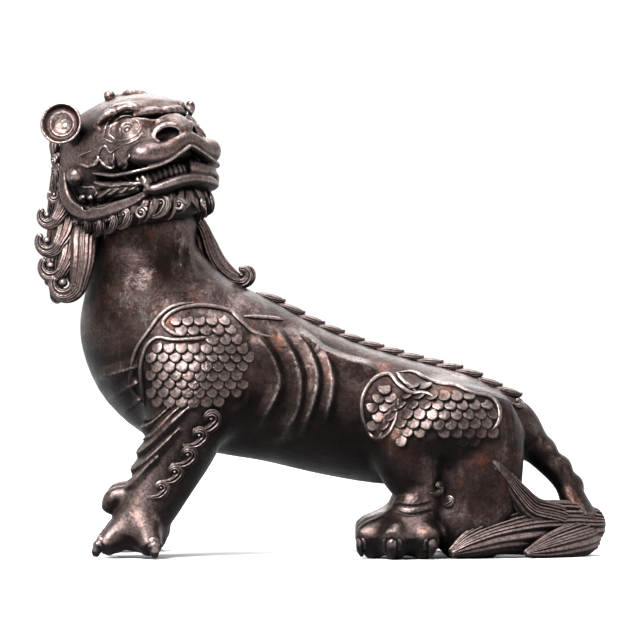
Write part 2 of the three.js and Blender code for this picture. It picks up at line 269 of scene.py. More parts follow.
def outwards(mesh):
    """Turns every face outwards."""
    work = bmesh.new()
    work.from_mesh(mesh)
    bmesh.ops.recalc_face_normals(work, faces=work.faces)
    work.to_mesh(mesh)
    work.free()


def added(name, data):
    """A new object in the scene."""
    made = bpy.data.objects.new(name, data)
    bpy.context.scene.collection.objects.link(made)
    return made


def piece(name, mesh, material):
    """A mesh as one piece of the figure."""
    made = added(name, mesh)
    mesh.materials.clear()
    mesh.materials.append(material)
    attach(made, "root")
    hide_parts("qilin")
    return made


def made_real(work):
    """The mesh of an object with its modifiers made real. The object itself is removed."""
    evaluated = work.evaluated_get(bpy.context.evaluated_depsgraph_get())
    result = bpy.data.meshes.new_from_object(evaluated)
    result.polygons.foreach_set("use_smooth", np.ones(len(result.polygons), bool))
    bpy.data.objects.remove(work)
    return result


def thinned(mesh):
    """The same surface with fewer triangles, fewest where it is flattest."""
    work = added("work", mesh)
    fewer = work.modifiers.new("fewer", "DECIMATE")
    fewer.ratio = min(1.0, THINNED_TO / max(len(mesh.polygons), 1))
    return made_real(work)


# Sections of the body: middle x, y, z, half across the travel and half along y, for the far side
TRUNK = [
    [140, 0, 87, 20, 22],
    [121, 0, 90, 33, 37],
    [96, 0, 94, 41, 46],
    [56, 0, 98, 47, 48],
    [15, 0, 107, 50, 48],
    [-25, 0, 120, 54, 50],
    [-62, 0, 133, 60, 53],
    [-95, 0, 146, 55, 52],
]
NECK = [
    [-94, 0, 122, 48, 46],
    [-112, 0, 146, 56, 53],
    [-120, 0, 174, 57, 51],
    [-125, 0, 200, 48, 45],
    [-129, 0, 224, 39, 40],
    [-129, 0, 250, 38, 37],
    [-133, 0, 278, 30, 32],
]
FORELEG = [
    [-88, 30, 160, 32, 22],
    [-90, 39, 132, 35, 23],
    [-94, 43, 108, 32, 21],
    [-101, 44, 84, 27, 19],
    [-111, 44, 63, 24, 17],
    [-120, 45, 44, 21, 17],
    [-128, 45, 30, 20, 18],
    [-131, 45, 16, 20, 19],
]
THIGH = [
    [126, 28, 96, 24, 24],
    [106, 36, 98, 28, 26],
    [86, 41, 96, 31, 25],
    [70, 44, 84, 27, 22],
    [66, 45, 64, 22, 18],
]
SHIN = [
    [66, 44, 84, 25, 20],
    [66, 46, 64, 22, 19],
    [71, 48, 47, 17, 17],
    [69, 50, 34, 18, 18],
    [63, 50, 16, 20, 19],
]
HEEL = [
    [118, 28, 90, 31, 24],
    [117, 38, 68, 31, 21],
    [115, 42, 41, 30, 19],
    [110, 44, 20, 28, 19],
    [106, 44, 7, 22, 18],
]
TAIL = [
    [126, 0, 103, 18, 18],
    [143, 0, 97, 16, 16],
    [155, 0, 82, 13, 12],
    [166, 0, 70, 10.5, 10],
    [176, -2, 59, 9.5, 9.5],
    [182, -4, 49, 9, 9],
    [187, -8, 36, 11, 12],
    [190, -12, 25, 15, 16],
]
FORE_PAW = {"at": (-132, 45), "toes": (-42, 26, 112)}
HIND_PAW = {"at": (60, 48.7), "toes": (-28, 24, 76, 128)}
# A toe from the ankle over its knuckle to the pad, and its claw, along and up from the paw's middle
FORE_TOE = [[0, 0, 27, 12, 10], [12, 0, 20, 11, 10], [21, 0, 13, 10, 9.5], [26, 0, 9, 8, 8.5]]
HIND_TOE = [[0, 0, 20, 12, 12], [14, 0, 18, 13, 12], [23, 0, 14, 14, 10.8], [28.6, 0, 11.5, 13, 9.2]]
FORE_CLAW = [
    [23, 0, 14, 5.6, 5],
    [25.6, 0, 13.4, 6.2, 5.6],
    [27.2, 0, 12.6, 5.2, 4.8],
    [28.8, 0, 11.6, 5.7, 5.1],
    [30.2, 0, 10.4, 4.6, 4.3],
    [31.6, 0, 9, 4.9, 4.5],
    [32.8, 0, 7, 3.8, 3.6],
    [33.6, 0, 4.4, 3.4, 3.2],
    [33.8, 0, 2.8, 2.6, 2.6],
]
HIND_CLAW = [
    [31, 0, 18, 2, 2.4],
    [33.4, 0, 15, 2.2, 3.4],
    [34.4, 0, 11, 2.2, 3.7],
    [34.2, 0, 6.6, 2, 3.2],
    [32.6, 0, 2.6, 1.6, 2],
]
CUTICLE = [[32, -5.2, 8, 1.6, 1.6], [32.8, -4.9, 14, 2.1, 2.1], [32.6, 0, 19.6, 2.6, 2.6]]
HIND_WEB = ((60, 48.7, 16), (30, 30, 11))
DEWCLAW = [[-122, 44, 46, 9, 8], [-138, 44, 45, 8, 7.5], [-149, 43, 43, 8, 7.5], [-153, 42, 36, 6.5, 6.5]]


def paw_frame(paw, angle, side):
    turn = math.pi - side * math.radians(angle)
    x, y = paw["at"]
    return Matrix.Translation((x, y * side, 0)) @ Matrix.Rotation(turn, 4, "Z")


# The folds round a foreleg: height at its front, and where they start and stop, in degrees from the tail
LEG_FOLDS = [(93, 140, 244), (83, 196, 258), (75.5, 135, 270), (62.5, 140, 264), (51.5, 150, 246)]
# A fold and the crest on it: how far out of the leg, half its width and half its height
FOLD_AND_CREST = ((0, 5, 2.9), (2.2, 1.5, 1))
FOLD_CLIMB = 0.9  # for every millimetre that it runs back
FOLD_WAVE = 1.4
TAIL_KNOTS = [((150, 12, 90), 7), ((166, 4, 78), 5.5), ((177, 3, 65), 5.5), ((186, 0, 51), 5.5)]


def leg_fold(side, front, start, stop):
    """The stations and ups of a fold of skin round the front of a foreleg, and of the crest on it."""
    leg = array(FORELEG)[::-1]

    def across_leg(z, turn, out):
        x, y, wide, deep = (np.interp(z, leg[:, 2], leg[:, i]) for i in (0, 1, 3, 4))
        return x + (wide + out) * math.cos(turn), y - (deep + out) * math.sin(turn)

    for out, half, rise in FOLD_AND_CREST:
        rows = []
        ups = []
        first = across_leg(front, math.pi, out)[0]
        for share in np.linspace(0, 1, 9):
            turn = math.radians(start + (stop - start) * share)
            z = front
            for _ in range(6):
                x, y = across_leg(z, turn, out)
                z = front + FOLD_CLIMB * (x - first) + FOLD_WAVE * math.sin(7 * share + front)
            size = min(1, 0.2 + 2.2 * min(share, 1 - share)) * (0.9 + 0.15 * math.sin(9 * share + front))
            rows.append([x, y * side, z, half * size, rise * size])
            ups.append([math.cos(turn), -math.sin(turn) * side, 0])
        yield rows, ups


def body_form():
    """The body, neck, legs and tail, cut level with the ground."""
    body = Casting(low=(-190, -92, -6), high=(215, 92, 300), step=1.0, reach=27)
    body.join(limb(TRUNK, sides=64))
    body.join(limb(NECK, sides=64), blend=26)
    for side in SIDES:
        body.join(limb(on_side(side, FORELEG)), blend=13)
        body.join(limb(on_side(side, THIGH)), blend=12)
        body.join(limb(on_side(side, SHIN)), blend=9)
        body.join(limb(on_side(side, HEEL)), blend=9)
        body.join(limb(on_side(side, DEWCLAW)), blend=4)
        for paw, toe in ((FORE_PAW, FORE_TOE), (HIND_PAW, HIND_TOE)):
            for angle in paw["toes"]:
                body.join(placed(limb(toe, power=0.9), paw_frame(paw, angle, side)), blend=7)
        at, radii = HIND_WEB
        body.join(ball(mirrored(at, side), radii), blend=6)
        for front, start, stop in LEG_FOLDS:
            for stations, ups in leg_fold(side, front, start, stop):
                body.join(limb(stations, up=ups, sides=20), blend=2)
    body.join(limb(TAIL), blend=8)
    for at, radius in TAIL_KNOTS:
        for side in SIDES:
            body.join(ball(mirrored(at, side), (radius,) * 3), blend=6)
    body.values = np.maximum(body.values, -body.heights())
    return body


def normals_of(points, faces):
    corners = points[faces]
    face = np.cross(corners[:, 1] - corners[:, 0], corners[:, 2] - corners[:, 0])
    total = np.zeros_like(points)
    for i in range(3):
        for axis in range(3):
            total[:, axis] += np.bincount(faces[:, i], face[:, axis], len(points))
    return unit(total)


def with_normals(shape):
    """A closed surface as its points, its faces turned outwards and the ways out at its points."""
    points, faces = shape
    normals = normals_of(points, faces)
    if np.mean(np.sum(normals * (points - points.mean(0)), axis=1)) < 0:
        faces = faces[:, ::-1]
        normals = -normals
    return points, faces, normals


def line_distance(places, line):
    """How far places are to the left of a line in the plane of the side view, below nought to its
    right, and where along it they are, from 0 to 1."""
    best = np.full(len(places), np.inf)
    left = np.zeros(len(places))
    along = np.zeros(len(places))
    for i, (a, b) in enumerate(zip(line[:-1], line[1:])):
        run = b - a
        off = places - a
        share = np.clip(off @ run / max(run @ run, 1e-9), 0, 1)
        away = np.linalg.norm(off - share[:, None] * run, axis=1)
        nearer = away < best
        best[nearer] = away[nearer]
        side = np.sign(run[0] * off[:, 1] - run[1] * off[:, 0])
        left[nearer] = (away * side)[nearer]
        along[nearer] = (i + share[nearer]) / (len(line) - 1)
    return left, along


RELIEF_FADE = 0.25  # the share of a line's length over which it fades out at each end
FOLD_SHARPNESS = 1.2


def relief(places, groups):
    """Heights at places of the side view, from groups of lines with the width on their left, the width
    on their right and the height. Above nought a line is a fold with a crest, and below it a groove."""
    raised = np.zeros(len(places))
    sunk = np.zeros(len(places))
    for lines, left, right, height in groups:
        for points in lines:
            line = through(points, 5)
            wide = max(left, right)
            near = np.all((places > line.min(0) - wide) & (places < line.max(0) + wide), axis=1)
            away, along = line_distance(places[near], line)
            share = np.minimum(np.where(away > 0, away / left, -away / right), 1)
            fade = np.clip(np.minimum(along, 1 - along) / RELIEF_FADE, 0, 1)
            fade = fade * fade * (3 - 2 * fade)
            if height > 0:
                fold = height * fade * (1 - share) ** FOLD_SHARPNESS
                raised[near] = np.maximum(raised[near], fold)
            else:
                groove = height * fade * (0.5 + 0.5 * np.cos(math.pi * share))
                sunk[near] = np.minimum(sunk[near], groove)
    return raised + sunk


# Raised and sunk lines on each flank, as [x, z] in the side view
SCROLL_HALF = 1.9
SHOULDER_SCROLLS = [
    [[-127.8, 110.2], [-136.5, 122.6], [-136.5, 137.2], [-132.9, 151.8], [-124.1, 165], [-115.3, 176.7],
     [-105.1, 183.2], [-92, 185.4]],
    [[-32.1, 159.9], [-46.7, 162.8], [-58.4, 172.3], [-67.2, 179.6], [-87.6, 183.2], [-105.1, 179.6],
     [-113.9, 170.8], [-105.9, 162.8], [-94.9, 162.1]],
    [[-77.4, 161.3], [-90.5, 159.1], [-106.6, 158.4], [-118.3, 159.9], [-126.3, 152.6], [-129.9, 138.7],
     [-129.2, 124.1], [-127, 109.5]],
    [[-55.5, 175.2], [-36.5, 173.7], [-27, 172.3]],
]
HAUNCH_SCROLLS = [
    [[85.4, 115.3], [76.7, 119.7], [65.7, 119.7], [56.9, 125.6], [49.6, 132.9], [38, 128.5], [30.7, 115.3],
     [31.4, 99.3], [38.7, 87.6], [48.2, 89.1], [54.8, 100.7], [56.9, 115.3]],
    [[55.5, 134.3], [60.6, 127.8], [69.4, 121.2]],
    [[56.9, 134.3], [67.9, 134.3], [78.1, 129.2], [86.9, 126.3], [98.6, 124.8], [110.2, 119.7],
     [124.1, 116.1], [129.9, 108], [128.5, 97.1], [120.5, 90.5]],
]
FOLDS = [
    [[-50, 164], [-44.5, 157.7], [-35, 144], [-30.1, 130], [-32.3, 117], [-42, 101], [-50, 94]],
    [[-36, 168], [-30.1, 161], [-19, 143.3], [-14.6, 125.6], [-16.8, 105.7], [-27, 91], [-35, 83]],
    [[-26, 168], [-19, 161], [-8, 147.7], [-2.4, 130], [-5.8, 110.1], [-12, 96], [-18, 86]],
    [[-19, 164], [-12.4, 158.8], [3.1, 145.5], [8.6, 125.6], [5.3, 105.7], [1, 92]],
    [[-8, 155], [-1.3, 150], [16.4, 142.2], [30, 138.5], [44, 135]],
]
LEG_BACK = [[-51, 150], [-52.5, 118], [-60, 106], [-71.5, 92], [-84, 74], [-98.5, 48]]
CHEST_PLATES = [
    [[-163, 129], [-146, 134], [-128, 140]],
    [[-156, 113], [-135, 125], [-131, 128]],
    [[-146, 103], [-132, 113], [-129, 116]],
]
NECK_FOLDS = [[[-93, 236], [-96, 222], [-93, 208], [-84, 197]], [[-101, 238], [-103, 222], [-101, 206]]]
ANKLE_FOLDS = [[[50, 41], [66, 38], [84, 41]], [[52, 35], [66, 32], [84, 35]]]


# The groups of lines that relief takes
BODY_RELIEF = [
    (FOLDS, 6.5, 8.5, 4.6),
    ([LEG_BACK], 6, 6, 1.8),
    (ANKLE_FOLDS, 1.8, 1.8, -1),
    (NECK_FOLDS, 4.5, 4.5, 1.8),
    (CHEST_PLATES, 8, 1.6, 2.6),
]


def on_flank(tree, side, x, z):
    """The point of a flank at a place of the side view, and the way out of it there."""
    outside = Vector((x, side * BESIDE, z))
    at, out, _, _ = tree.ray_cast(outside, Vector((0, -side, 0)))
    if at is None:
        return None, None
    if out.y * side < 0:
        out.negate()
    return at, out


CORD_END = 0.3  # the size of an open cord's end
CORD_TAPER = 0.18


def cord(points, outs, half, rise, closed=False):
    """A raised line along points of a surface, with the ways out of it. Open ones thin out at each end."""
    points = array(points)
    size = np.ones(len(points))
    if not closed:
        share = np.linspace(0, 1, len(points))
        size = np.clip(np.minimum(share, 1 - share) / CORD_TAPER + CORD_END, 0, 1)
    rows = np.c_[points, half * size, rise * size]
    return limb(rows, up=outs, steps=3, sides=10)


def scroll(tree, side, line):
    """A raised scroll line on a flank, through [x, z] of the side view."""
    seen = [on_flank(tree, side, x, z) for x, z in through(line, 3)]
    seen = [(at, out) for at, out in seen if at is not None]
    return cord([at for at, _ in seen], [out for _, out in seen], SCROLL_HALF, SCROLL_HALF)


def scrolls(tree):
    """The raised scroll lines of both flanks. The far one, which is seldom seen, has the outer ones."""
    near = [scroll(tree, NEAR, line) for line in SHOULDER_SCROLLS + HAUNCH_SCROLLS]
    far = [scroll(tree, FAR, line) for line in SHOULDER_SCROLLS[:2] + HAUNCH_SCROLLS[::2]]
    return gathered(near + far)


def embossed(shape):
    """The body's surface with its lines raised and sunk along the surface's own normals."""
    points, faces, normals = with_normals(shape)
    for side in SIDES:
        sideways = np.clip(normals[:, 1] * side * 2, 0, 1)
        chosen = (points[:, 1] * side > 0) & (sideways > 0)
        height = relief(points[chosen][:, [0, 2]], BODY_RELIEF) * sideways[chosen]
        points[chosen] += normals[chosen] * height[:, None]
    return points, faces


# The head's tables are in its own frame: x to the nose, y to the far cheek and z up
HEAD_AT = (-142, -8, 294)
HEAD_TURN = (3, -20, -45)  # roll, pitch and yaw, in degrees
HEAD_FRAME = Matrix.Translation(HEAD_AT) @ Euler([math.radians(a) for a in HEAD_TURN]).to_matrix().to_4x4()
SKULL = [
    [-45, 0, 4, 24, 26],
    [-35, 0, 2, 33, 35],
    [-14, 0, 1, 39, 41],
    [9, 0, 3, 37, 41],
    [27, 0, 1, 31, 39],
    [39, 0, -9, 20, 36],
    [48, 0, -15, 12, 32],
]
FOREHEAD = ((17, 0, 12), (33, 42, 23))
JAW = [
    [-31, 0, -22, 24, 34],
    [-10, 0, -34, 22, 36],
    [14, 0, -44, 15, 35],
    [34, 0, -49, 12, 31],
    [43, 0, -53, 9, 26],
]
NOSE = [
    [40, 0, 13, 9, 8],
    [48, 0, 7, 13, 8],
    [56, 0, 0, 13, 8.5],
    [60, 0, -6, 8, 8],
]
# The wings of the nose and the fullness of each cheek: place, radii and blend
MUZZLE = [((52, 13, -6), (8, 9, 7), 4), ((40, 30, -5), (9, 8, 9), 8), ((32, 31.5, -12), (11, 7.5, 9), 4)]
NOSTRIL_AT = (56.4, 12, -6.2)
NOSTRIL_OUT = (0.76, 0.58, -0.28)
NOSTRIL_RING = (9.4, 6.392)
NOSTRIL_ROLL = 3.4
NOSTRIL_HOLE = ((0, 0, 2), (9, 5, 6))
FAR_GUM = [
    [26, 39, -30, 3, 3.5],
    [40, 37, -33, 4, 5],
    [50, 28, -33, 4, 5.5],
    [55, 14, -32, 3, 5.5],
    [54, 5, -31, 2.6, 6],
]
UPPER_LIP = [
    [42.5, 37.5, -16, 5, 5],
    [47, 35, -17, 8.6, 8.6],
    [52, 29, -19, 9.5, 9.5],
    [57, 19, -19, 7, 7.5],
    [61.5, 8, -14, 5.5, 6],
    [62.5, 0, -12, 5.5, 6],
]
LIP_RIM = [
    [1, 38.5, -14, 1.4, 1.2],
    [10, 40, -18, 1.8, 1.4],
    [21, 41, -23, 2, 1.5],
    [33, 42, -26, 2, 1.5],
    [41, 43, -28, 2.1, 1.5],
    [49, 38, -29, 2.2, 1.5],
    [58, 24, -28, 2.4, 1.6],
    [63, 9, -22, 2.4, 1.6],
    [64.5, 0, -18.5, 2.4, 1.6],
]
MOUTH = [
    [1, 36, -18.2, 8, 1.8],
    [8, 37, -21.8, 10, 2.7],
    [20, 37, -27, 11, 2.5],
    [32, 38, -31, 10, 2.6],
    [44, 37, -33, 8, 4],
    [53, 29, -34, 9, 5.5],
    [60, 12, -32, 10, 7],
    [62, 0, -30, 10, 7.5],
]
LOWER_RIM = [
    [-1, 38, -20.2, 1.6, 1.4],
    [9, 39.5, -25.8, 2.2, 1.8],
    [22, 39.5, -30.4, 2.2, 1.8],
    [34, 38.5, -33.8, 2, 1.6],
    [43, 36, -37.5, 1.8, 1.4],
]
JAW_PAD = [
    [-7, 34.5, -28, 2, 2.4],
    [8, 36, -32, 3, 3.6],
    [22, 36, -36, 3, 3.6],
    [36, 34, -38.5, 2.4, 2.6],
]
LOWER_LIP = [
    [42, 34, -42, 3.5, 3],
    [47, 28, -43.5, 6, 4.2],
    [51.5, 17, -42, 6.5, 4.8],
    [53, 0, -40, 6.5, 4.8],
]
TEETH_LINE = [[30, 30, -34], [38, 25.5, -34], [45, 17, -33], [49.5, 8, -32], [50.5, 0, -32]]
TEETH = 19
TOOTH = (2.4, 2.2, 6)
JAW_BAND = [
    [-30, 35, 2, 3, 3],
    [-33, 37, -14, 5, 4],
    [-29, 39, -28, 5.4, 4.4],
    [-14, 40, -40, 5.4, 4.4],
    [8, 38.5, -44.5, 5, 4],
    [29, 34.5, -45.5, 3.6, 3],
    [40, 32.5, -44, 2.2, 2],
]
BROW_LOBES = [
    [[23, 41.5, 16.5, 2, 2], [26.5, 40, 19, 3.6, 3.2], [31, 37.5, 20.5, 4.2, 3.8], [35, 34.5, 20, 3, 2.8]],
    [[35, 33, 21, 2.8, 2.8], [38.5, 27.5, 22, 4.6, 4], [42.5, 23.5, 20, 4.6, 3.8], [45, 21, 17, 3, 2.8]],
    [[42, 24, 14.5, 3, 2.8], [46.5, 17, 14.8, 4.6, 4.2], [49.5, 10, 14, 4.6, 4.2], [51.5, 6, 12, 3.2, 3]],
    [[50.5, 8, 13.5, 3, 3], [52, 3, 13, 4.6, 4.2], [52.3, 0, 12.5, 4.6, 4.2]],
]
BROW_FOLDS = [
    [[30, 30, 25, 2, 2], [37, 24, 23.5, 3.4, 3], [43, 15, 21, 3.4, 3], [45.5, 8, 20, 2, 2]],
    [[40, 9, 24.5, 2, 2], [43.5, 3, 22.5, 3.2, 2.8], [43.8, 0, 22.3, 3.2, 2.8]],
]
FAR_BROW_TIP = [
    [43, 29, 14.5, 5.2, 4.4],
    [42.5, 34.5, 18, 3.8, 3.6],
    [43, 35, 21, 3.2, 3],
    [43, 35, 22, 2.6, 2.6],
]
BROW_CUT = [
    [23, 43, 13.5, 1.8, 1.8],
    [28, 40.5, 15.3, 2.6, 2.4],
    [34, 36, 16.3, 2.8, 2.6],
    [41, 29, 14.8, 2.8, 2.6],
    [47, 20, 12, 2.6, 2.4],
    [50.5, 14, 10.6, 2.4, 2.4],
    [53.6, 5, 9.8, 2.2, 2.2],
    [54.4, 0, 9.6, 2.2, 2.2],
]
HORN_STUB = [[12, 12, 31, 5, 5], [12, 12, 37, 3.9, 3.9], [12, 12, 41.2, 4.1, 4.1], [12, 12, 42.5, 3.8, 3.8]]
# The knobs between the horn stubs: place, radii and blend
MOUND = [
    ((12, -3, 35), (6, 7, 7.2), 3),
    ((18, 2, 35.5), (6, 7, 6.6), 1.6),
    ((23, -4, 34.8), (5.6, 6, 6.4), 1.6),
    ((28, 2, 33), (5, 7, 6), 1.6),
]
FANG = [[45, 36, -33, 2.2, 2.2], [46, 36, -38, 2.6, 2.6], [45, 35, -43, 1.6, 1.6]]
EYE_AT = (36.5, 29, 5.5)
EYE_OUT = (0.66, 0.71, -0.2)
EYE_RADIUS = 9.5
EYE_RINGS = ((5.6, 0.7), (3.2, 0.6))  # radius and thickness
PUPIL_RADIUS = 1.7
PUPIL_LIFT = 0.2
# The bosses behind the mouth: place, radius and blend
CHEEK_BALLS = [((-17, 39, -9.6), 7.2, 1.4), ((-17, 38.5, -27), 3.2, 1.2), ((-9, 38.5, -29.5), 2.8, 1.2)]
JAW_HOLLOW = ((-11, 41, -35), (5, 4, 3))
# Lines of the face as [x, z] in the side view. The eyelids have half their width and their rise with them
EYELIDS = [
    ([[-153.3, 307.3], [-151.5, 313.7], [-146.9, 318.7], [-139.6, 320.6], [-133.2, 318.3], [-129.6, 311.9],
      [-134.1, 306.4], [-142.3, 303.2], [-148.7, 303.7], [-153.3, 307.3]], 1.1, 0.55),
    ([[-156.6, 304.5], [-156.3, 309.3], [-154, 315.7], [-149.4, 321.2]], 1.0, 0.8),
    ([[-156.6, 304.5], [-149, 300.8], [-141, 300.3], [-133.2, 303.2], [-128.5, 307.8]], 1.0, 0.8),
]
CHEEK_FLAMES = [
    [[-176.1, 285.9], [-172.5, 285.4], [-168.8, 284.1], [-164.2, 285], [-161.5, 286.8], [-160.6, 290],
     [-162.4, 292.7]],
    [[-160.6, 290], [-157.9, 286.8], [-154.7, 284.1], [-151, 282.7], [-148.7, 285], [-149.2, 289.1],
     [-149.7, 293.6]],
    [[-148.7, 286.3], [-146, 284.1], [-142.3, 282.2], [-139.6, 284.1], [-138.7, 288.2], [-137.3, 292.7]],
    [[-160.6, 291.8], [-159.7, 295.5], [-158.3, 298.2], [-155.6, 298.7], [-153.8, 296.4], [-151.5, 294.1],
     [-146.9, 297.3], [-141.4, 299.6]],
    [[-176.1, 290.9], [-171.5, 293.6], [-166.1, 295.5]],
]
JAW_FLAMES = [
    [[-163.3, 261.2], [-158.8, 262.2], [-154.2, 265.4], [-150.6, 268.1], [-146, 268.5]],
    [[-154.2, 263.5], [-150.6, 264.4], [-146.9, 267.2], [-141.4, 269.5]],
    [[-146, 264.9], [-142.3, 265.8], [-139.6, 268.5], [-135, 270.8]],
    [[-138.7, 266.7], [-135, 268.1], [-131.4, 270.8]],
    [[-176.1, 271.7], [-171.5, 269], [-165.2, 269], [-162.4, 265.4], [-163.3, 262.6]],
]
JAW_GROOVE = [
    [-176.1, 263], [-171.5, 259], [-165.2, 258.1], [-159.7, 256.7], [-151.5, 260.8], [-142.3, 264],
    [-131, 266],
]
FACE_LINES = EYELIDS + [(line, 1.2, 0.9) for line in CHEEK_FLAMES + JAW_FLAMES]
HEAD_RELIEF = [([JAW_GROOVE], 2.6, 3.2, -2.4), (CHEEK_FLAMES[:3], 7, 1, 3), (JAW_FLAMES[:4], 3.4, 0.9, 1.8)]
FACE_FROM = 12  # how far to a side of the head its relief starts


def teeth():
    place = walk(through(across(TEETH_LINE), 8))
    return [ball(place(share), TOOTH, sides=12) for share in np.arange(0.02, 1, 1 / TEETH)]


def ring_limb(radii, lift, thick, count, sides):
    """A round bar bent into an oval ring, level and at that height."""
    turn = 2 * math.pi * np.arange(count + 2) / count
    ring = np.c_[radii[0] * np.cos(turn), radii[1] * np.sin(turn), np.full(count + 2, lift)]
    return limb(np.c_[ring, np.full((count + 2, 2), thick)], up=UP, steps=1, sides=sides)


def eye(side):
    """An eyeball with two rings round the iris and a boss for the pupil."""
    at = mirrored(EYE_AT, side)
    out = unit(mirrored(EYE_OUT, side))
    parts = [ball(at, (EYE_RADIUS,) * 3)]
    for radius, thick in EYE_RINGS:
        lift = math.sqrt(EYE_RADIUS**2 - radius**2)
        ring = ring_limb((radius, radius), lift, thick, count=24, sides=8)
        parts.append(placed(ring, seat(at, out)))
    parts.append(ball(at + out * (EYE_RADIUS + PUPIL_LIFT), (PUPIL_RADIUS,) * 3, sides=12))
    return parts


def nostril(side):
    """The rolled wing round a nostril, and the cavity to cut in it."""
    place = seat(mirrored(NOSTRIL_AT, side), mirrored(NOSTRIL_OUT, side))
    roll = ring_limb(NOSTRIL_RING, lift=0, thick=NOSTRIL_ROLL, count=18, sides=12)
    return placed(roll, place), placed(ball(*NOSTRIL_HOLE), place)


def head_form():
    """The head in its own frame: the skull, muzzle and jaws, then what repeats on both sides of it."""
    head = Casting(low=(-66, -56, -78), high=(76, 56, 56), step=0.75, reach=9)
    head.join(limb(SKULL, sides=64, power=0.92))
    head.join(ball(*FOREHEAD, sides=48), blend=6)
    head.join(limb(JAW, sides=48, power=0.7), blend=5)
    head.join(limb(NOSE, up=UP), blend=5)
    for side in SIDES:
        for at, radii, blend in MUZZLE:
            head.join(ball(mirrored(at, side), radii), blend)
    head.join(limb(across(UPPER_LIP), up=UP), blend=2.5)
    head.cut(limb(across(MOUTH), up=UP), blend=1.2)
    head.join(limb(across(LIP_RIM), up=UP, sides=16), blend=1)
    head.join(limb(across(LOWER_LIP), up=UP), blend=2)
    head.join(limb(FAR_GUM, up=UP), blend=2)
    head.join(limb(FAR_BROW_TIP, sides=16), blend=0.8)
    for tooth in teeth():
        head.join(tooth, blend=0.6)
    for at, radii, blend in MOUND:
        head.join(ball(at, radii), blend)
    for side in SIDES:
        head.cut(limb(on_side(side, BROW_CUT), up=UP, sides=16), blend=1.5)
        for lobe in BROW_LOBES:
            head.join(limb(on_side(side, lobe), up=UP, sides=20), blend=0.5)
        for fold in BROW_FOLDS:
            head.join(limb(on_side(side, fold), up=UP, sides=20), blend=2)
        for shape in eye(side):
            head.join(shape, blend=0.5)
        for at, radius, blend in CHEEK_BALLS:
            head.join(ball(mirrored(at, side), (radius,) * 3), blend)
        head.join(limb(on_side(side, JAW_BAND), sides=48, power=0.6), blend=0.8)
        head.join(limb(on_side(side, JAW_PAD), up=UP, sides=20), blend=1.5)
        head.join(limb(on_side(side, LOWER_RIM), up=UP, sides=16), blend=0.8)
        head.join(limb(on_side(side, HORN_STUB), sides=20), blend=1.5)
        head.join(limb(on_side(side, FANG), steps=3, sides=12), blend=0.8)
        roll, hole = nostril(side)
        head.join(roll, blend=1)
        head.cut(hole, blend=1.2)
        at, radii = JAW_HOLLOW
        head.cut(ball(mirrored(at, side), radii), blend=1.5)
    return head


def carved(shape):
    """The head's surface with its lines raised and sunk on the near side, and the same beyond."""
    points, faces, normals = with_normals(shape)
    turn = np.array(HEAD_FRAME)
    for side in SIDES:
        flip = (1, -side, 1)
        seen = (points * flip) @ turn[:3, :3].T + turn[:3, 3]
        ways = (normals * flip) @ turn[:3, :3].T
        chosen = (points[:, 1] * side > FACE_FROM) & (ways[:, 1] < 0)
        height = relief(seen[chosen][:, [0, 2]], HEAD_RELIEF) * np.clip(-ways[chosen, 1] * 2, 0, 1)
        points[chosen] += normals[chosen] * height[:, None]
    return points, faces


def face_cords(tree):
    """The lines of the face, laid on the near side of the head and mirrored to the far side."""
    back = HEAD_FRAME.inverted()
    shapes = []
    for line, half, rise in FACE_LINES:
        closed = line[0] == line[-1]
        seen = [on_flank(tree, NEAR, x, z) for x, z in through(line, 2)]
        seen = [(back @ at, back.to_3x3() @ out) for at, out in seen if at is not None]
        for flip in (1, -1):
            points = on_side(flip, [at for at, _ in seen])
            outs = on_side(flip, [out for _, out in seen])
            shapes.append(cord(points, outs, half, rise, closed))
    return placed(gathered(shapes), HEAD_FRAME)


def scatter_tree():
    """Sets one shape on every point of a mesh, turned and sized by the points' own values."""
    tree = bpy.data.node_groups.new("scatter", "GeometryNodeTree")
    for name, kind in (("Places", "Geometry"), ("Shape", "Object"), ("Metal", "Material")):
        tree.interface.new_socket(name, in_out="INPUT", socket_type="NodeSocket" + kind)
    tree.interface.new_socket("Cast", in_out="OUTPUT", socket_type="NodeSocketGeometry")
    start = tree.nodes.new("NodeGroupInput")
    end = tree.nodes.new("NodeGroupOutput")
    shape = tree.nodes.new("GeometryNodeObjectInfo")
    put = tree.nodes.new("GeometryNodeInstanceOnPoints")
    real = tree.nodes.new("GeometryNodeRealizeInstances")
    metal = tree.nodes.new("GeometryNodeSetMaterial")

    def value_of(name, kind):
        node = tree.nodes.new("GeometryNodeInputNamedAttribute")
        node.data_type = kind
        node.inputs["Name"].default_value = name
        return next(out for out in node.outputs if out.name == "Attribute" and out.enabled)

    link = tree.links.new
    link(start.outputs["Places"], put.inputs["Points"])
    link(start.outputs["Shape"], shape.inputs["Object"])
    link(shape.outputs["Geometry"], put.inputs["Instance"])
    link(value_of("turn", "QUATERNION"), put.inputs["Rotation"])
    link(value_of("size", "FLOAT_VECTOR"), put.inputs["Scale"])
    link(put.outputs["Instances"], real.inputs["Geometry"])
    link(real.outputs["Geometry"], metal.inputs["Geometry"])
    link(start.outputs["Metal"], metal.inputs["Material"])
    link(metal.outputs["Geometry"], end.inputs["Cast"])
    return tree


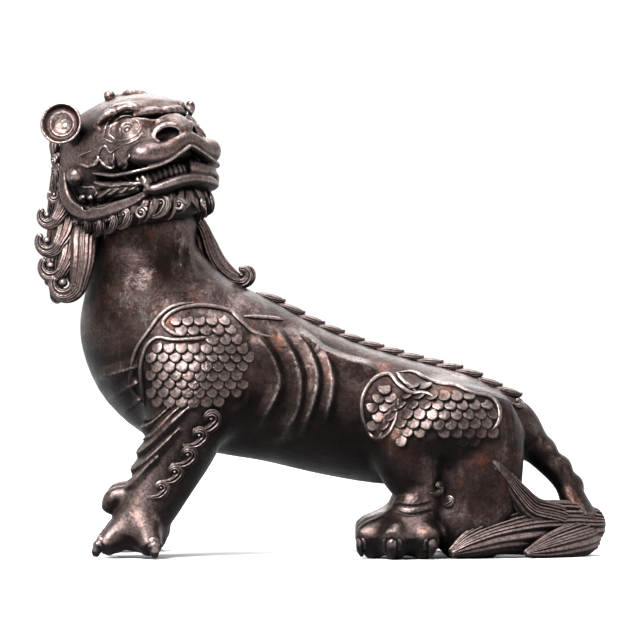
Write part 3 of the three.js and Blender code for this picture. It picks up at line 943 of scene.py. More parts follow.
def spots_at(name, places):
    """A mesh of points alone, with the turn and the size that each place asks for."""
    spots = bpy.data.meshes.new(name)
    spots.vertices.add(len(places))
    at = array([place[0] for place in places]) * MM
    turns = array([facing(out, along).to_quaternion() for _, out, along, _ in places])
    sizes = array([np.broadcast_to(place[3], 3) for place in places])
    spots.vertices.foreach_set("co", at.astype(np.float32).ravel())
    # Each attribute is filled before the next is made, because a new one moves those before it
    turn = spots.attributes.new("turn", "QUATERNION", "POINT")
    turn.data.foreach_set("value", turns.astype(np.float32).ravel())
    size = spots.attributes.new("size", "FLOAT_VECTOR", "POINT")
    size.data.foreach_set("vector", sizes.astype(np.float32).ravel())
    return spots


def scattered(name, shape, places, metal):
    """A mesh of one shape at every place, given as (point, way out, way along, size)."""
    seed = bpy.data.objects.new(name + "_shape", mesh_of(name + "_shape", shape))
    work = added(name, spots_at(name, places))
    tree = scatter_tree()
    modifier = work.modifiers.new("scatter", "NODES")
    modifier.node_group = tree
    inputs = {item.name: item.identifier for item in tree.interface.items_tree if item.in_out == "INPUT"}
    modifier[inputs["Shape"]] = seed
    modifier[inputs["Metal"]] = metal
    result = made_real(work)
    bpy.data.objects.remove(seed)
    bpy.data.node_groups.remove(tree)
    outwards(result)
    return result


def facing(out, along):
    """A turn that takes z out of the surface and y along it."""
    z = Vector(out).normalized()
    y = Vector(along) - z * Vector(along).dot(z)
    y.normalize()
    return Matrix((y.cross(z), y, z)).transposed()


def inside(place, outline):
    """Whether a place of the side view lies inside an outline."""
    x, z = place
    crossed = False
    for (xa, za), (xb, zb) in zip(outline, outline[1:] + outline[:1]):
        if (za > z) != (zb > z) and x < xa + (z - za) * (xb - xa) / (zb - za):
            crossed = not crossed
    return crossed


SCALE_SIZE = (10.6, 13.0)
SCALE_PITCH = (8.8, 6.4)  # from scale to scale, and from row to row
SCALE_LIFT = (-1.7, 1.5)  # of its root, and of its free edge
SCALE_FOOT = -2.4
SCALE_FOOT_SHARE = 0.82
SCALE_TOP = 0.3
SCALE_SIDES = 12
SCALE_ROOT = 0.88  # the width of its root's half
SCALE_RINGS = ((1, 0.1), (0.74, 0.5))  # share of its size, and height over its slope
SCALE_SWAY = 0.22
SCALE_UNEVEN = 0.08
# The fields of scales as (x, z) in the side view
SHOULDER_FIELD = [
    (-124.1, 111.7), (-127, 124.1), (-125.6, 137.2), (-121.9, 150.4), (-116.8, 156.2), (-105.1, 155.5),
    (-89.8, 157), (-77.4, 159.1), (-94.9, 164.3), (-103.7, 165.7), (-109.5, 170.8), (-103.7, 175.9),
    (-87.6, 179.6), (-68.6, 176.7), (-59.9, 170.1), (-54, 159.1), (-51.1, 150.4), (-51.8, 135.8),
    (-60.6, 119.7), (-76.7, 111.7), (-94.9, 113.2), (-112.4, 109.5),
]
HAUNCH_FIELD = [
    (57.7, 130), (68.6, 131.4), (80.3, 125.6), (91.3, 121.2), (109.5, 118.3), (122.6, 114.6), (128.5, 108),
    (128.5, 96.4), (119.7, 87.6), (108, 82.5), (94.9, 87.6), (84.7, 93.4), (76.7, 94.2), (56.9, 84),
    (54, 90.5), (55.5, 102.9), (57.7, 115.3), (59.9, 119.7),
]
OVAL_FIELD = [
    (35.8, 121.2), (42.3, 127.8), (49.6, 129.9), (55.5, 121.2), (56.2, 110.2), (53.3, 99.3), (47.5, 90.5),
    (39.4, 92), (33.6, 103.7),
]
# How far the scales of a field lean to the tail: where x is 0, and more for every millimetre of x
SCALE_FIELDS = ((SHOULDER_FIELD, 0.12, -0.002), (HAUNCH_FIELD, 0.31, 0.004), (OVAL_FIELD, 0.15, 0))


def scale_shape():
    """A scale: x across, y to its free edge, z out. Its root is sunk and its free edge stands out."""
    turn = 2 * math.pi * np.arange(SCALE_SIDES) / SCALE_SIDES
    wide, tall = SCALE_SIZE
    edge = np.c_[np.cos(turn) * wide / 2, np.sin(turn) * tall / 2]
    edge[:, 0] *= np.where(edge[:, 1] < 0, SCALE_ROOT, 1)
    rings = [np.c_[edge * SCALE_FOOT_SHARE, np.full(SCALE_SIDES, SCALE_FOOT)]]
    for share, height in SCALE_RINGS:
        flat = edge * share
        slope = np.interp(flat[:, 1], (-tall / 2, tall / 2), SCALE_LIFT)
        rings.append(np.c_[flat, slope + height])
    return skin(array(rings), array([[0, 0, SCALE_FOOT], [0, 0, SCALE_TOP]]))


def scale_places(tree, side, field, lean, more):
    """Where the scales of a field go: staggered rows, their free edges down and leaning to the tail."""
    corners = array(field)
    low, high = corners.min(0), corners.max(0)
    pitch, drop = SCALE_PITCH
    places = []
    for row, z in enumerate(np.arange(high[1], low[1], -drop)):
        for x in np.arange(low[0] + (row % 2) * pitch / 2, high[0], pitch):
            if not inside((x, z), field):
                continue
            at, out = on_flank(tree, side, x, z)
            if at is None:
                continue
            sway = SCALE_SWAY * math.sin(1.3 * x + 2.1 * z)
            size = 1 + SCALE_UNEVEN * math.sin(2.9 * x - 1.7 * z)
            places.append((at, out, Vector((lean + more * x + sway, 0, -1)), size))
    return places


def scales(tree, metal):
    places = []
    for side in SIDES:
        for field, lean, more in SCALE_FIELDS:
            places += scale_places(tree, side, field, lean, more)
    return scattered("scales", scale_shape(), places, metal)


CREST_FROM = -44
CREST_TO = 144
CREST_PLATES = 13
CREST_STEP = (CREST_TO - CREST_FROM) / CREST_PLATES
CREST_OVERLAP = 1.35


def crest_plate():
    """A plate of the crest: combed ribs that run back and rise to a tip over the next plate's root."""
    length = CREST_STEP * CREST_OVERLAP
    rows = [
        [0, -length * 0.5, -1.5, 5, 2.4],
        [0, -length * 0.2, -0.2, 6.6, 3.4],
        [0, length * 0.15, 0.8, 6, 3.8],
        [0, length * 0.38, 2, 4, 3],
        [0, length * 0.5, 3.6, 1.8, 1.6],
        [0, length * 0.52, 4.6, 0.8, 0.8],
    ]
    return limb(rows, up=UP, steps=3, sides=48, grooves=(12, 0.17))


def crest(tree, metal):
    """The plates along the spine, each turned to the slope between its ends."""

    def top(x):
        beside_seam = 0.4
        at, _, _, _ = tree.ray_cast(Vector((x, beside_seam, ABOVE)), Vector((0, 0, -1)))
        return at

    places = []
    for i in range(CREST_PLATES):
        x = CREST_FROM + (i + 0.5) * CREST_STEP
        along = (top(x + CREST_STEP / 2) - top(x - CREST_STEP / 2)).normalized()
        out = Vector((0, -1, 0)).cross(along)
        places.append((top(x), out, along, 1.0))
    return scattered("crest", crest_plate(), places, metal)


def curl_shape():
    """A curl of radius 1: a spiral round a boss, flat on the surface with z out of it."""
    turns = 1.3
    share = np.linspace(0, 1, 24)
    angle = share * turns * 2 * math.pi
    reach = 0.76 - 0.44 * share
    rows = np.c_[
        reach * np.cos(angle),
        reach * np.sin(angle),
        0.02 + 0.2 * share,
        0.25 - 0.07 * share,
        0.26 - 0.04 * share,
    ]
    return gathered([limb(rows, up=UP, steps=1, sides=9), ball((0, 0, 0.22), (0.24, 0.24, 0.3), 12)])


# Waves of hair behind a foreleg, and at the ankle and the tail: x, z and size
LEG_WAVES = [[-80.5, 98, 10.2], [-89, 86.5, 9.4], [-97, 72.5, 9.4], [-106.5, 60, 8.8], [-116, 48.5, 8]]
ANKLE_WAVES = [[84.7, 49.6, 6.4], [92.7, 40.2, 5.4], [144.5, 110.5, 5.4]]
# The beard's line round the jaw, in the head's frame, and shares of it where its curls and waves sit
BEARD = [
    [-36, 34, 18],
    [-41, 33, -10],
    [-35, 35, -36],
    [-13, 37, -50.5],
    [12, 36, -54.5],
    [36, 30, -56],
    [46, 17, -57],
    [49, 0, -57],
]
BEARD_CURLS = (0.05, 0.2, 0.36, 0.76, 0.93)
BEARD_WAVES = (0.12, 0.28, 0.43, 0.51, 0.59, 0.67, 0.85)
BEARD_CURL_SIZE = 6.2
BEARD_WAVE_SIZE = 8.6
BEARD_LOCKS = 38
BEARD_FAN = 0.35  # how far its hair turns to the front and the back of the jaw


def wave_shape():
    """A breaking wave of combed hair about 2 high: y up. It hooks round a boss and runs down to -x."""
    boss = (-0.04, 0.34)
    turn = np.radians(np.linspace(205, -35, 9))
    reach = np.linspace(0.38, 0.5, 9)
    hook = np.c_[boss[0] + reach * np.cos(turn), boss[1] + reach * np.sin(turn)]
    foot = [[0.2, -0.32], [-0.1, -0.6], [-0.5, -0.78], [-0.82, -0.84]]
    line = np.vstack([hook, foot])
    share = np.linspace(0, 1, len(line))
    half = np.interp(share, [0, 0.25, 0.7, 1], [0.16, 0.29, 0.42, 0.1])
    lift = np.interp(share, [0, 0.3, 0.7, 1], [0.16, 0.14, 0.04, -0.06])
    hair = limb(np.c_[line, lift, half, half * 0.9], up=UP, steps=3, sides=54, grooves=(9, 0.45))
    return gathered([hair, ball((*boss, 0.16), (0.17, 0.17, 0.22), 12)])


def flank_waves(tree, side, table, lift, lean):
    """Places for the waves of a table on a flank."""
    places = []
    for x, z, size in table:
        at, out = on_flank(tree, side, x, z)
        places.append((at + out * lift, out, Vector((lean, 0, 1)), size * array((-side, 1, 1))))
    return places


def beard_place(side, share, lift, along, size, rise=0):
    """A place at a share of the beard's line, that far out of the jaw and up it."""
    at = walk(through(on_side(side, BEARD), 12))(share)
    out = unit(array((at[0] * BEARD_FAN, at[1], 0)))
    turn = HEAD_FRAME.to_3x3()
    return HEAD_FRAME @ Vector(at + out * lift + (0, 0, rise)), turn @ Vector(out), turn @ Vector(along), size


def waves(tree, metal):
    """The waves of combed hair down the back of each foreleg, at the ankles and along the beard."""
    places = []
    for side in SIDES:
        size = BEARD_WAVE_SIZE * array((-side, 1, 1))
        places += flank_waves(tree, side, LEG_WAVES, lift=-0.4, lean=0.45)
        places += flank_waves(tree, side, ANKLE_WAVES, lift=0.4, lean=0.9)
        places += [beard_place(side, share, 0.6, (0.5, 0, 1), size) for share in BEARD_WAVES]
    return scattered("waves", wave_shape(), places, metal)


def curls(metal):
    """The small curls between the beard's waves."""
    places = []
    for side in SIDES:
        size = BEARD_CURL_SIZE * array((1, -side, 1))
        places += [beard_place(side, share, 0.5, UP, size) for share in BEARD_CURLS]
    return scattered("curls", curl_shape(), places, metal)


def beard_lock():
    """A short wavy lock of the beard: y down its length, z out."""
    rows = [
        [0, -7, 0, 2.6, 2.4],
        [0.8, -3, 1.2, 3.2, 3],
        [0.6, 1.5, 1.6, 2.9, 2.7],
        [-0.8, 5.5, 1.4, 2.1, 2],
        [-2.8, 8.5, 1, 1.2, 1.1],
        [-4.8, 9.6, 0.8, 0.5, 0.5],
    ]
    return limb(rows, up=UP, steps=2, sides=24, grooves=(6, 0.24))


def beard(metal):
    """Two rows of locks, no two next to each other of one length, way or height."""
    places = []
    for side in SIDES:
        for i in range(BEARD_LOCKS):
            upper = i % 2
            along = (-0.55 + 0.45 * math.sin(2.3 * i), 0, -1)
            size = array((side * (1 + 0.15 * math.sin(3.1 * i)), 0.95 + 0.2 * math.sin(1.7 * i), 1))
            share = (i + 0.5) / BEARD_LOCKS
            places.append(beard_place(side, share, 1.2 * upper - 2.4, along, size, rise=1.5 + 4 * upper))
    return scattered("beard", beard_lock(), places, metal)


# The curl that a lock ends in: its turns, how far it tightens, thins and rises, and the boss in it
CURL_TURNS = 0.55
CURL_TIGHTENS = 0.3
CURL_THINS = 0.55
CURL_RISES = 0.4
CURL_STEPS = 12
CURL_BOSS = 0.32
CURL_BOSS_LIFT = 0.35
LOCK_GROOVES = (15, 0.2)


def curling(rows, out, radius, hand):
    """The stations of a lock that ends in a curl of that radius, in the plane across out, and where its
    boss goes. The hand, 1 or -1, is the way it winds."""
    rows = array(rows)
    end = rows[-1, :3]
    ahead = end - rows[-2, :3]
    ahead = unit(ahead - out * (ahead @ out))
    inward = hand * np.cross(out, ahead)
    centre = end + inward * radius
    wound = []
    for share in np.linspace(0, 1, CURL_STEPS + 1)[1:]:
        angle = share * CURL_TURNS * 2 * math.pi
        reach = radius * (1 - CURL_TIGHTENS * share)
        spoke = ahead * math.sin(angle) - inward * math.cos(angle)
        at = centre + reach * spoke + out * share * radius * CURL_RISES
        wound.append([*at, *(rows[-1, 3:5] * (1 - CURL_THINS * share))])
    return np.vstack([rows, wound]), centre + out * radius * CURL_BOSS_LIFT


def lock(rows, out, radius, hand):
    """A combed lock that ends in a curl round a boss."""
    out = unit(array(out))
    stations, boss = curling(rows, out, radius, hand)
    hair = limb(stations, up=out, steps=3, sides=90, grooves=LOCK_GROOVES)
    return gathered([hair, ball(boss, (radius * CURL_BOSS,) * 3, sides=16)])


MANE_CORE = [
    [-150, 10, 296, 24, 28],
    [-152, 14, 262, 36, 36],
    [-154, 14, 228, 38, 36],
    [-146, 12, 200, 28, 30],
]
MANE_MIDDLE = (-155, 12)
MANE_COLUMNS = (182, 155, 128, 101, 74)  # degrees round the nape
MANE_TIERS = (258, 232, 207)
MANE_STAGGER = 13
MANE_CURL = 6.6
# The locks of the mane's near edge: the radius of the curl, and the path with half width and half depth
NEAR_LOCKS = [
    (5, [[-180, 4, 286, 4, 4], [-185, -2, 274, 5.5, 4], [-189, -8, 263, 4.4, 4]]),
    (7.4, [[-177, 6, 284, 6, 5], [-183, -4, 266, 8.5, 6], [-188, -12, 252, 7, 5.5], [-192, -15, 246, 5, 5]]),
    (9, [[-176, 4, 272, 6, 5], [-182, -8, 252, 10.5, 6], [-186, -16, 236, 9, 6], [-190, -20, 228, 6, 5.5]]),
    (9.4, [
        [-174, 0, 258, 6, 5], [-179, -14, 238, 10.5, 6], [-182, -22, 220, 9, 6], [-187, -24, 209, 6, 5.5],
    ]),
    (10.6, [
        [-166, -4, 252, 8, 6], [-172, -22, 236, 10, 7], [-173, -29, 216, 9.5, 7], [-176, -30, 198, 7, 6],
    ]),
]
NEAR_OUT = (-0.38, -0.92, 0.05)
# The two freer locks on the right of the neck, and the way that each one faces
RIGHT_LOCKS = [
    [
        [-108, 12, 270, 5, 5],
        [-98, 11, 253, 6.5, 5.5],
        [-88, 8, 236, 8, 7],
        [-83, 4, 220, 8.5, 7],
        [-76, 2, 208, 8, 7],
        [-66, 1, 200.5, 6.5, 6],
        [-59, 1, 199, 5, 5],
    ],
    [
        [-112, 22, 272, 5, 5],
        [-99, 25, 253, 7, 6],
        [-87, 26, 233, 8, 7],
        [-77, 22, 214, 8, 7],
        [-66, 18, 203, 7, 6],
        [-58, 16, 200, 5, 5],
    ],
]
RIGHT_OUTS = ((0, -1, 0), (0.2, -1, 0))
RIGHT_CURL = 6


def mane_point(angle, reach, z):
    """A point round the neck, as x, y and z."""
    turn = math.radians(angle)
    return [MANE_MIDDLE[0] + reach * math.cos(turn), MANE_MIDDLE[1] + reach * math.sin(turn), z]


def mane():
    """Columns of locks round the nape, in tiers."""
    shapes = [limb(MANE_CORE, sides=72, steps=8, grooves=(28, 0.06))]
    for column, angle in enumerate(MANE_COLUMNS):
        drop = MANE_STAGGER * (column % 2)
        out = (math.cos(math.radians(angle)), math.sin(math.radians(angle)), 0.1)
        for tier, z in enumerate(MANE_TIERS):
            foot = z - drop
            rows = [
                [*mane_point(angle - 14, 24, foot + 52), 5, 5],
                [*mane_point(angle - 10, 34, foot + 34), 8, 6],
                [*mane_point(angle - 2, 38 + tier, foot + 14), 7, 5.5],
                [*mane_point(angle + 4, 40 + tier, foot), 4.6, 5],
            ]
            shapes.append(lock(rows, out, MANE_CURL, hand=-1))
    return gathered(shapes)


def loose_locks():
    """The freer locks at each side of the neck."""
    near = [lock(rows, NEAR_OUT, radius, hand=-1) for radius, rows in NEAR_LOCKS]
    right = [lock(rows, out, RIGHT_CURL, hand=1) for rows, out in zip(RIGHT_LOCKS, RIGHT_OUTS)]
    return gathered(near + right)


TUFT = [
    [
        [198, -6, 22, 14, 17],
        [180, -16, 22, 19, 18],
        [155, -32, 21, 20, 17],
        [130, -48, 17, 15, 14],
        [110, -60, 11, 11, 9],
        [96, -66, 5, 4, 4],
    ],
    [
        [194, -12, 14, 13, 13],
        [186, -28, 12, 14, 12],
        [168, -46, 8, 11, 8],
        [150, -58, 4, 3, 3],
    ],
    [
        [172, -28, 27, 12, 12],
        [154, -40, 33, 12, 10],
        [143, -47, 45, 10, 7],
        [135, -51, 57, 7, 5.5],
        [128, -54, 66, 5.4, 4.6],
        [123.5, -54, 71.5, 3.6, 3.4],
    ],
]


def tuft():
    return gathered([limb(rows, steps=8, sides=168, grooves=(24, 0.14)) for rows in TUFT])


# The profile of an ear's dish, from the middle of its back to the middle of its front: radius and height
EAR_DISH = [
    [0.01, -9],
    [7, -8.6],
    [12, -6],
    [15, -2],
    [15.6, 0.2],
    [15, 1.5],
    [13.8, 1.2],
    [13, -0.6],
    [12, -2.2],
    [10, -3.2],
    [9.2, -2.4],
    [8.2, -2.4],
    [7.4, -3.4],
    [4, -3.7],
    [0.01, -3.8],
]
EAR_SIDES = 48
EAR_AT = (1, 57, 25.5)
EAR_OUT = (0.55, 0.82, 0.05)
EAR_STALK = [[-8, 32, 17, 9, 9], [-7, 38, 19, 8, 8], [-5, 45, 22, 7, 7], [-4, 50, 24.5, 7, 7]]


def ear(side):
    """An ear: a turned dish with a rolled rim and an inner ring, on a short stalk."""
    turn = 2 * math.pi * np.arange(EAR_SIDES) / EAR_SIDES
    rings = [np.c_[r * np.cos(turn), r * np.sin(turn), np.full(EAR_SIDES, h)] for r, h in EAR_DISH]
    poles = array([[0, 0, EAR_DISH[0][1]], [0, 0, EAR_DISH[-1][1]]])
    dish = placed(skin(array(rings), poles), seat(mirrored(EAR_AT, side), mirrored(EAR_OUT, side)))
    return placed(gathered([dish, limb(on_side(side, EAR_STALK))]), HEAD_FRAME)


def ears():
    return gathered([ear(side) for side in SIDES])


def grounded(shape):
    """A shape flattened where it would reach below the ground."""
    points, faces = shape
    points[:, 2] = np.maximum(points[:, 2], 0)
    return points, faces


def on_toes(shape, paw):
    """One shape at every toe of a pair of paws."""
    return gathered([placed(shape, paw_frame(paw, angle, side)) for side in SIDES for angle in paw["toes"]])


def claws():
    """The fore paws' blunt claws, with rings of skin at their roots."""
    return on_toes(limb(FORE_CLAW, sides=24, steps=5), FORE_PAW)


def nails():
    """The hind paws' short nails, each under its fold of skin."""
    nail = gathered([limb(HIND_CLAW, sides=20), limb(across(CUTICLE), up=UP, sides=14)])
    return on_toes(nail, HIND_PAW)


def shape_of(mesh):
    """A mesh as points in millimetres and triangles."""
    points = np.empty(3 * len(mesh.vertices), np.float32)
    mesh.vertices.foreach_get("co", points)
    mesh.calc_loop_triangles()
    faces = np.empty(3 * len(mesh.loop_triangles), np.int32)
    mesh.loop_triangles.foreach_get("vertices", faces)
    return points.reshape(-1, 3) / MM, faces.reshape(-1, 3)


SHORTEST_EDGE = 0.2
SHARPEST_CURVE = 0.6
SMOOTHING = 0.6
SMOOTHING_ROUNDS = 2


def smoothed_curve(mesh, points, normals):
    """How sharply a mesh turns outwards at each vertex, in 1/mm, taken over a few neighbours."""
    ends = np.empty(2 * len(mesh.edges), np.int32)
    mesh.edges.foreach_get("vertices", ends)
    a, b = ends.reshape(-1, 2).T
    count = len(points)
    shared = np.maximum(np.bincount(a, minlength=count) + np.bincount(b, minlength=count), 1)

    def mean_of(values):
        total = np.bincount(a, values[b], count) + np.bincount(b, values[a], count)
        return total / shared

    middle = np.stack([mean_of(points[:, axis]) for axis in range(3)], axis=1)
    span = np.linalg.norm(points[a] - points[b], axis=1)
    edge = (np.bincount(a, span, count) + np.bincount(b, span, count)) / shared
    curve = 2 * np.sum((points - middle) * normals, axis=1) / np.maximum(edge, SHORTEST_EDGE) ** 2
    curve = np.clip(curve, -SHARPEST_CURVE, SHARPEST_CURVE)
    for _ in range(SMOOTHING_ROUNDS):
        curve = (1 - SMOOTHING) * curve + SMOOTHING * mean_of(curve)
    return curve


# How much paler each piece is worn than plain skin. The forehead, forelegs and hind paws are parts of two
WORN = {
    "head": 0.38, "forehead": 0.08, "forelegs": 0.36, "hind_paws": 0.16, "scales": 0.14, "crest": 0.36,
    "curls": 0.3, "waves": 0.4, "beard": 0.35, "scrolls": 0.42, "face_lines": 0.4, "mane": 0.38,
    "loose_locks": 0.43, "tuft": 0.85, "ears": 0.4, "claws": 0.45, "nails": 0.15,
}
# The heights between which the head's wear gives way to the forehead's rust
FOREHEAD_RUST = (320, 331)
# How far ahead of the surface its open room is measured, for the painted shade
ROOM_SPANS = (3, 7, 14)
# How far up a face must look to lie in the full light: at a low and at a high place of the figure
LIT_HEIGHTS = (110, 270)
LIT_FROM = (0.38, 0.06)
# How much the painted shade darkens the undersides
UNDERSIDE_SHADE = 0.95


def between(values, start, full):
    """How far values have come from a start to where they count in full, from 0 to 1."""
    return np.clip((values - start) / (full - start), 0, 1)


def wear_of(name, points):
    """The wear of a piece at its points. Plain skin is handled most on the forelegs and hind paws."""
    x, _, z = points.T
    if name == "body":
        fore = between(x, start=-72, full=-87) * between(z, start=112, full=87)
        hind = between(x, start=100, full=90) * between(x, start=10, full=20)
        hind *= between(z, start=48, full=36)
        return WORN["forelegs"] * fore + WORN["hind_paws"] * hind
    if name == "head":
        return np.interp(z, FOREHEAD_RUST, (WORN["head"], WORN["forehead"]))
    return np.full(len(points), WORN[name])


def painted_shade_of(whole, points, normals):
    """Painted shade at points: darker where there is little room ahead of them or the ground is near, and
    darker still on undersides, more so low down.
    """
    open_share = np.zeros(len(points))
    for span in ROOM_SPANS:
        ahead = points + normals * span
        room = np.minimum(whole.sampled(ahead), np.maximum(ahead[:, 2], 0))
        open_share += np.clip(room / span, 0, 1) / len(ROOM_SPANS)
    under = np.clip(np.interp(points[:, 2], LIT_HEIGHTS, LIT_FROM) - normals[:, 2], 0, 1)
    return 1 - open_share * (1 - UNDERSIDE_SHADE * under * (2 - under))


def shade_and_wear(pieces):
    """Gives every vertex its painted shade, how much its edge is rubbed and its piece's wear."""
    shapes = [shape_of(made.data) for made in pieces]
    whole = Casting(low=(-225, -100, -15), high=(225, 100, 355), step=1.8, reach=16)
    part, found = whole.distances(gathered(shapes))
    whole.values[part] = found
    for made, (points, faces) in zip(pieces, shapes):
        normals = normals_of(points.astype(float), faces)
        layers = {
            "painted_shade": painted_shade_of(whole, points, normals),
            "rubbed": smoothed_curve(made.data, points.astype(float), normals),
            "worn": wear_of(made.name, points),
        }
        for name, values in layers.items():
            layer = made.data.attributes.new(name, "FLOAT", "POINT")
            layer.data.foreach_set("value", values.astype(np.float32))


def set_range(node, low, high, least, most):
    """Sets what a Map Range node takes and gives."""
    for key, number in zip(("From Min", "From Max", "To Min", "To Max"), (low, high, least, most)):
        node.inputs[key].default_value = number


class Patina:
    """Shorthand for the nodes of one material."""

    def __init__(self, name):
        self.material = bpy.data.materials.new(name)
        self.material.use_nodes = True
        self.tree = self.material.node_tree
        self.shader = self.tree.nodes["Principled BSDF"]
        self.place = self.tree.nodes.new("ShaderNodeTexCoord").outputs["Object"]
        split = self.tree.nodes.new("ShaderNodeSeparateXYZ")
        self.tree.links.new(self.place, split.inputs["Vector"])
        self.height = split.outputs["Z"]

    def link(self, value, socket):
        if isinstance(value, bpy.types.NodeSocket):
            self.tree.links.new(value, socket)
        else:
            socket.default_value = value

    def layer(self, name):
        node = self.tree.nodes.new("ShaderNodeAttribute")
        node.attribute_name = name
        return node.outputs["Fac"]

    def noise(self, size, detail, rough, height=1.0):
        """Cloudy spots of about that size in metres, and that many times as high as they are wide."""
        node = self.tree.nodes.new("ShaderNodeTexNoise")
        stretch = self.tree.nodes.new("ShaderNodeMapping")
        stretch.inputs["Scale"].default_value = (1, 1, 1 / height)
        self.tree.links.new(self.place, stretch.inputs["Vector"])
        self.tree.links.new(stretch.outputs["Vector"], node.inputs["Vector"])
        node.inputs["Scale"].default_value = 1 / size
        node.inputs["Detail"].default_value = detail
        node.inputs["Roughness"].default_value = rough
        return node.outputs["Fac"]

    def range(self, value, low, high, least=0.0, most=1.0):
        """A value that goes smoothly from least to most, as the given one goes from low to high."""
        node = self.tree.nodes.new("ShaderNodeMapRange")
        node.interpolation_type = "SMOOTHSTEP"
        set_range(node, low, high, least, most)
        self.link(value, node.inputs["Value"])
        return node.outputs["Result"]

    def math(self, kind, a, b):
        node = self.tree.nodes.new("ShaderNodeMath")
        node.operation = kind
        node.use_clamp = True
        self.link(a, node.inputs[0])
        self.link(b, node.inputs[1])
        return node.outputs[0]

    def mix(self, share, under, over):
        node = self.tree.nodes.new("ShaderNodeMix")
        node.data_type = "RGBA"
        self.link(share, node.inputs["Factor"])
        colours = [socket for socket in node.inputs if socket.type == "RGBA"]
        for value, socket in zip((under, over), colours):
            self.link(value, socket)
        return next(socket for socket in node.outputs if socket.type == "RGBA")


# The colours of the patina, and the near black of the painted shade, as linear red, green, blue and alpha
BLACK_BROWN = (0.024, 0.015, 0.013, 1)
BROWN = (0.09, 0.063, 0.059, 1)
RED_BROWN = (0.1, 0.034, 0.018, 1)
PALE_RUNS = (0.2, 0.15, 0.135, 1)
PITS = (0.018, 0.012, 0.011, 1)
WORN_METAL = (0.3, 0.225, 0.215, 1)
RUST = (0.12, 0.048, 0.03, 1)
RUBBED_METAL = (0.5, 0.41, 0.39, 1)
SPECKS = (0.02, 0.014, 0.012, 1)
GREEN_CRUST = (0.045, 0.075, 0.068, 1)
# Near black: painted shade in the hollows and on the undersides, and dark patina in the creases
SHADE_AND_PATINA_BLACK = (0.004, 0.0035, 0.0035, 1)


def bronze():
    """Old bronze: red-brown in patches and rubbed pale on the high places, with darker patina in the creases
    and brown-black painted shade in the hollows and on the undersides.
    """
    patina = Patina("bronze")
    painted_shade = patina.layer("painted_shade")
    rubbed = patina.layer("rubbed")
    clouds = patina.noise(size=0.05, detail=8, rough=0.68)
    blotches = patina.noise(size=0.022, detail=6, rough=0.65)
    specks = patina.noise(size=0.0022, detail=3, rough=0.6)
    crust = patina.noise(size=0.03, detail=7, rough=0.7)
    runs = patina.noise(size=0.008, detail=6, rough=0.65, height=5)
    pitting = patina.noise(size=0.0045, detail=5, rough=0.75)

    colour = patina.mix(patina.range(clouds, 0.35, 0.65), BLACK_BROWN, BROWN)
    reds = patina.range(blotches, 0.54, 0.66, most=0.6)
    colour = patina.mix(reds, colour, RED_BROWN)
    colour = patina.mix(patina.range(runs, 0.56, 0.7, most=0.45), colour, PALE_RUNS)
    colour = patina.mix(patina.range(pitting, 0.5, 0.6, most=0.65), colour, PITS)
    patches = patina.range(patina.noise(size=0.045, detail=8, rough=0.7), 0.55, 0.66, most=0.6)
    worn = patina.math("MAXIMUM", patches, patina.layer("worn"))
    colour = patina.mix(worn, colour, WORN_METAL)
    high = patina.range(patina.height, 0.25, 0.33, most=0.12)
    rusty = patina.math("ADD", patina.noise(size=0.018, detail=6, rough=0.7), high)
    rust = patina.range(rusty, 0.55, 0.7, most=0.6)
    colour = patina.mix(rust, colour, RUST)
    edges = patina.range(rubbed, 0.04, 0.3)
    colour = patina.mix(patina.math("MULTIPLY", edges, 0.6), colour, RUBBED_METAL)
    colour = patina.mix(patina.range(specks, 0.44, 0.6, most=0.5), colour, SPECKS)
    colour = patina.mix(patina.range(crust, 0.6, 0.72, most=0.4), colour, GREEN_CRUST)
    # Painted shade, from the per-vertex shade layer
    deep = patina.range(painted_shade, 0.22, 0.82)
    # Creases darker: dark patina, and painted shade
    grooves = patina.range(rubbed, -0.02, -0.16, most=0.7)
    painted_shade_and_patina = patina.math("MAXIMUM", deep, grooves)
    # The painted shade and the creases' dark patina take the colour towards near black
    colour = patina.mix(patina.math("MULTIPLY", painted_shade_and_patina, 0.95), colour, SHADE_AND_PATINA_BLACK)
    patina.link(colour, patina.shader.inputs["Base Color"])

    gloss = patina.range(patina.noise(size=0.03, detail=4, rough=0.6), 0.3, 0.7, least=0.24, most=0.42)
    dull = patina.math("ADD", patina.math("MULTIPLY", painted_shade_and_patina, 0.25), patina.math("MULTIPLY", worn, 0.08))
    patina.link(patina.math("ADD", gloss, dull), patina.shader.inputs["Roughness"])
    patina.shader.inputs["Metallic"].default_value = 1.0
    bump = patina.tree.nodes.new("ShaderNodeBump")
    bump.inputs["Strength"].default_value = 0.6
    bump.inputs["Distance"].default_value = 0.0008
    patina.link(patina.math("ADD", patina.math("MULTIPLY", specks, 0.4), pitting), bump.inputs["Height"])
    patina.link(bump.outputs["Normal"], patina.shader.inputs["Normal"])
    return patina.material


LIGHT_FROM = (-0.1, 0.8, 0.6)
ROOM_LIGHT = (0.08, 1.05)  # on the side the figure is seen from, and behind it
# Lamps: place and size in metres, and power in watts
LAMPS = {
    "key": ((-0.75, -1.1, 1.35), (0.5, 0.5), 60),
    "fill": ((1.7, -1.5, 0.8), (0.5, 0.5), 8),
    "top": ((0.25, 0.1, 1.9), (1.4, 0.4), 30),
    "wash": ((0.0, 3.2, 2.6), (3.0, 2.0), 90),
}
FLOOR_REACH = 4.0
# The photo is square, with the ground's line in this row. The camera's aim and distance are in metres
PHOTO_PIXELS = 640
PIXEL = 0.73  # millimetres at the figure
GROUND_ROW = 556
AIM = (0.0, -0.02, 0.17)
DISTANCE = 5.0
LOOKS_DOWN = 1.0  # degrees
SENSOR = 36


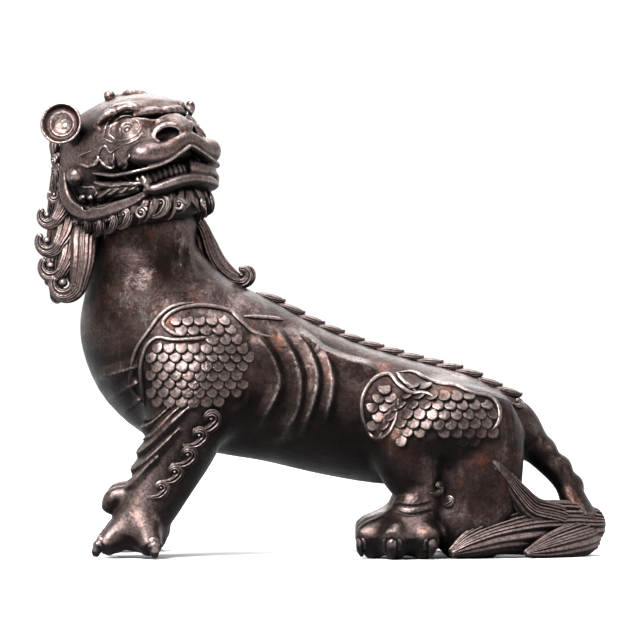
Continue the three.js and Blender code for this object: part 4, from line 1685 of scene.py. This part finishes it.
def backdrop_light(tree):
    """White light from behind and above, and a dim room on the side the figure is seen from."""
    ways = tree.nodes.new("ShaderNodeTexCoord")
    toward = tree.nodes.new("ShaderNodeVectorMath")
    toward.operation = "DOT_PRODUCT"
    toward.inputs[1].default_value = LIGHT_FROM
    tree.links.new(ways.outputs["Generated"], toward.inputs[0])
    power = tree.nodes.new("ShaderNodeMapRange")
    set_range(power, -0.6, 0.75, *ROOM_LIGHT)
    tree.links.new(toward.outputs["Value"], power.inputs["Value"])
    tree.nodes["Background"].inputs["Color"].default_value = (1, 1, 1, 1)
    tree.links.new(power.outputs["Result"], tree.nodes["Background"].inputs["Strength"])


def plain(name, colour, roughness):
    """A material of one colour."""
    material = bpy.data.materials.new(name)
    material.use_nodes = True
    shader = material.node_tree.nodes["Principled BSDF"]
    shader.inputs["Base Color"].default_value = colour
    shader.inputs["Roughness"].default_value = roughness
    return material


def softbox(name, at, size, power):
    """A rectangular lamp that looks at the figure."""
    lamp = bpy.data.lights.new(name, "AREA")
    lamp.shape = "RECTANGLE"
    lamp.size, lamp.size_y = size
    lamp.energy = power
    made = added(name, lamp)
    made.location = at
    made.rotation_euler = (Vector((0, 0, AIM[2])) - Vector(at)).to_track_quat("-Z", "Y").to_euler()


def studio():
    """A white floor, four lamps and a lit room."""
    mesh = bpy.data.meshes.new("floor")
    corners = [(FLOOR_REACH * x, FLOOR_REACH * y, 0) for x, y in ((-1, -1), (1, -1), (1, 1), (-1, 1))]
    mesh.from_pydata(corners, [], [(0, 1, 2, 3)])
    mesh.materials.append(plain("floor", (0.9, 0.9, 0.9, 1), 0.9))
    floor = added("floor", mesh)
    world = bpy.data.worlds.new("studio")
    bpy.context.scene.world = world
    world.use_nodes = True
    backdrop_light(world.node_tree)
    bpy.context.scene.view_settings.view_transform = "Standard"
    for name, (at, size, power) in LAMPS.items():
        softbox(name, at, size, power)


def camera():
    """The photo's view: aimed at the figure's middle, and shifted so that the ground meets its row."""
    lens = bpy.data.cameras.new("camera")
    made = added("camera", lens)
    target = Vector(AIM)
    down = math.radians(LOOKS_DOWN)
    made.location = target + DISTANCE * Vector((0, -math.cos(down), math.sin(down)))
    made.rotation_euler = (target - made.location).to_track_quat("-Z", "Y").to_euler()
    lens.sensor_width = SENSOR
    lens.lens = SENSOR * DISTANCE / (PHOTO_PIXELS * PIXEL * MM)
    lens.shift_y = (GROUND_ROW - AIM[2] / MM / PIXEL) / PHOTO_PIXELS - 0.5
    lens.clip_end = 50
    bpy.context.scene.camera = made


def tree_of(shape):
    """A surface for rays to find."""
    points, faces = shape
    return BVHTree.FromPolygons(points.tolist(), faces.tolist())


camera()
studio()
metal = bronze()
skin_of_body = body_form().surface()
flanks = tree_of(skin_of_body)
skin_of_head = placed(carved(head_form().surface()), HEAD_FRAME)
face = tree_of(skin_of_head)
pieces = [
    piece("body", thinned(mesh_of("body", embossed(skin_of_body))), metal),
    piece("head", thinned(mesh_of("head", skin_of_head)), metal),
    piece("scales", scales(flanks, metal), metal),
    piece("crest", crest(flanks, metal), metal),
    piece("curls", curls(metal), metal),
    piece("waves", waves(flanks, metal), metal),
    piece("beard", beard(metal), metal),
]
swept = {
    "scrolls": scrolls(flanks),
    "face_lines": face_cords(face),
    "mane": mane(),
    "loose_locks": loose_locks(),
    "tuft": tuft(),
    "ears": ears(),
    "claws": claws(),
    "nails": nails(),
}
for name, shape in swept.items():
    mesh = mesh_of(name, grounded(shape))
    outwards(mesh)
    pieces.append(piece(name, mesh, metal))
shade_and_wear(pieces)
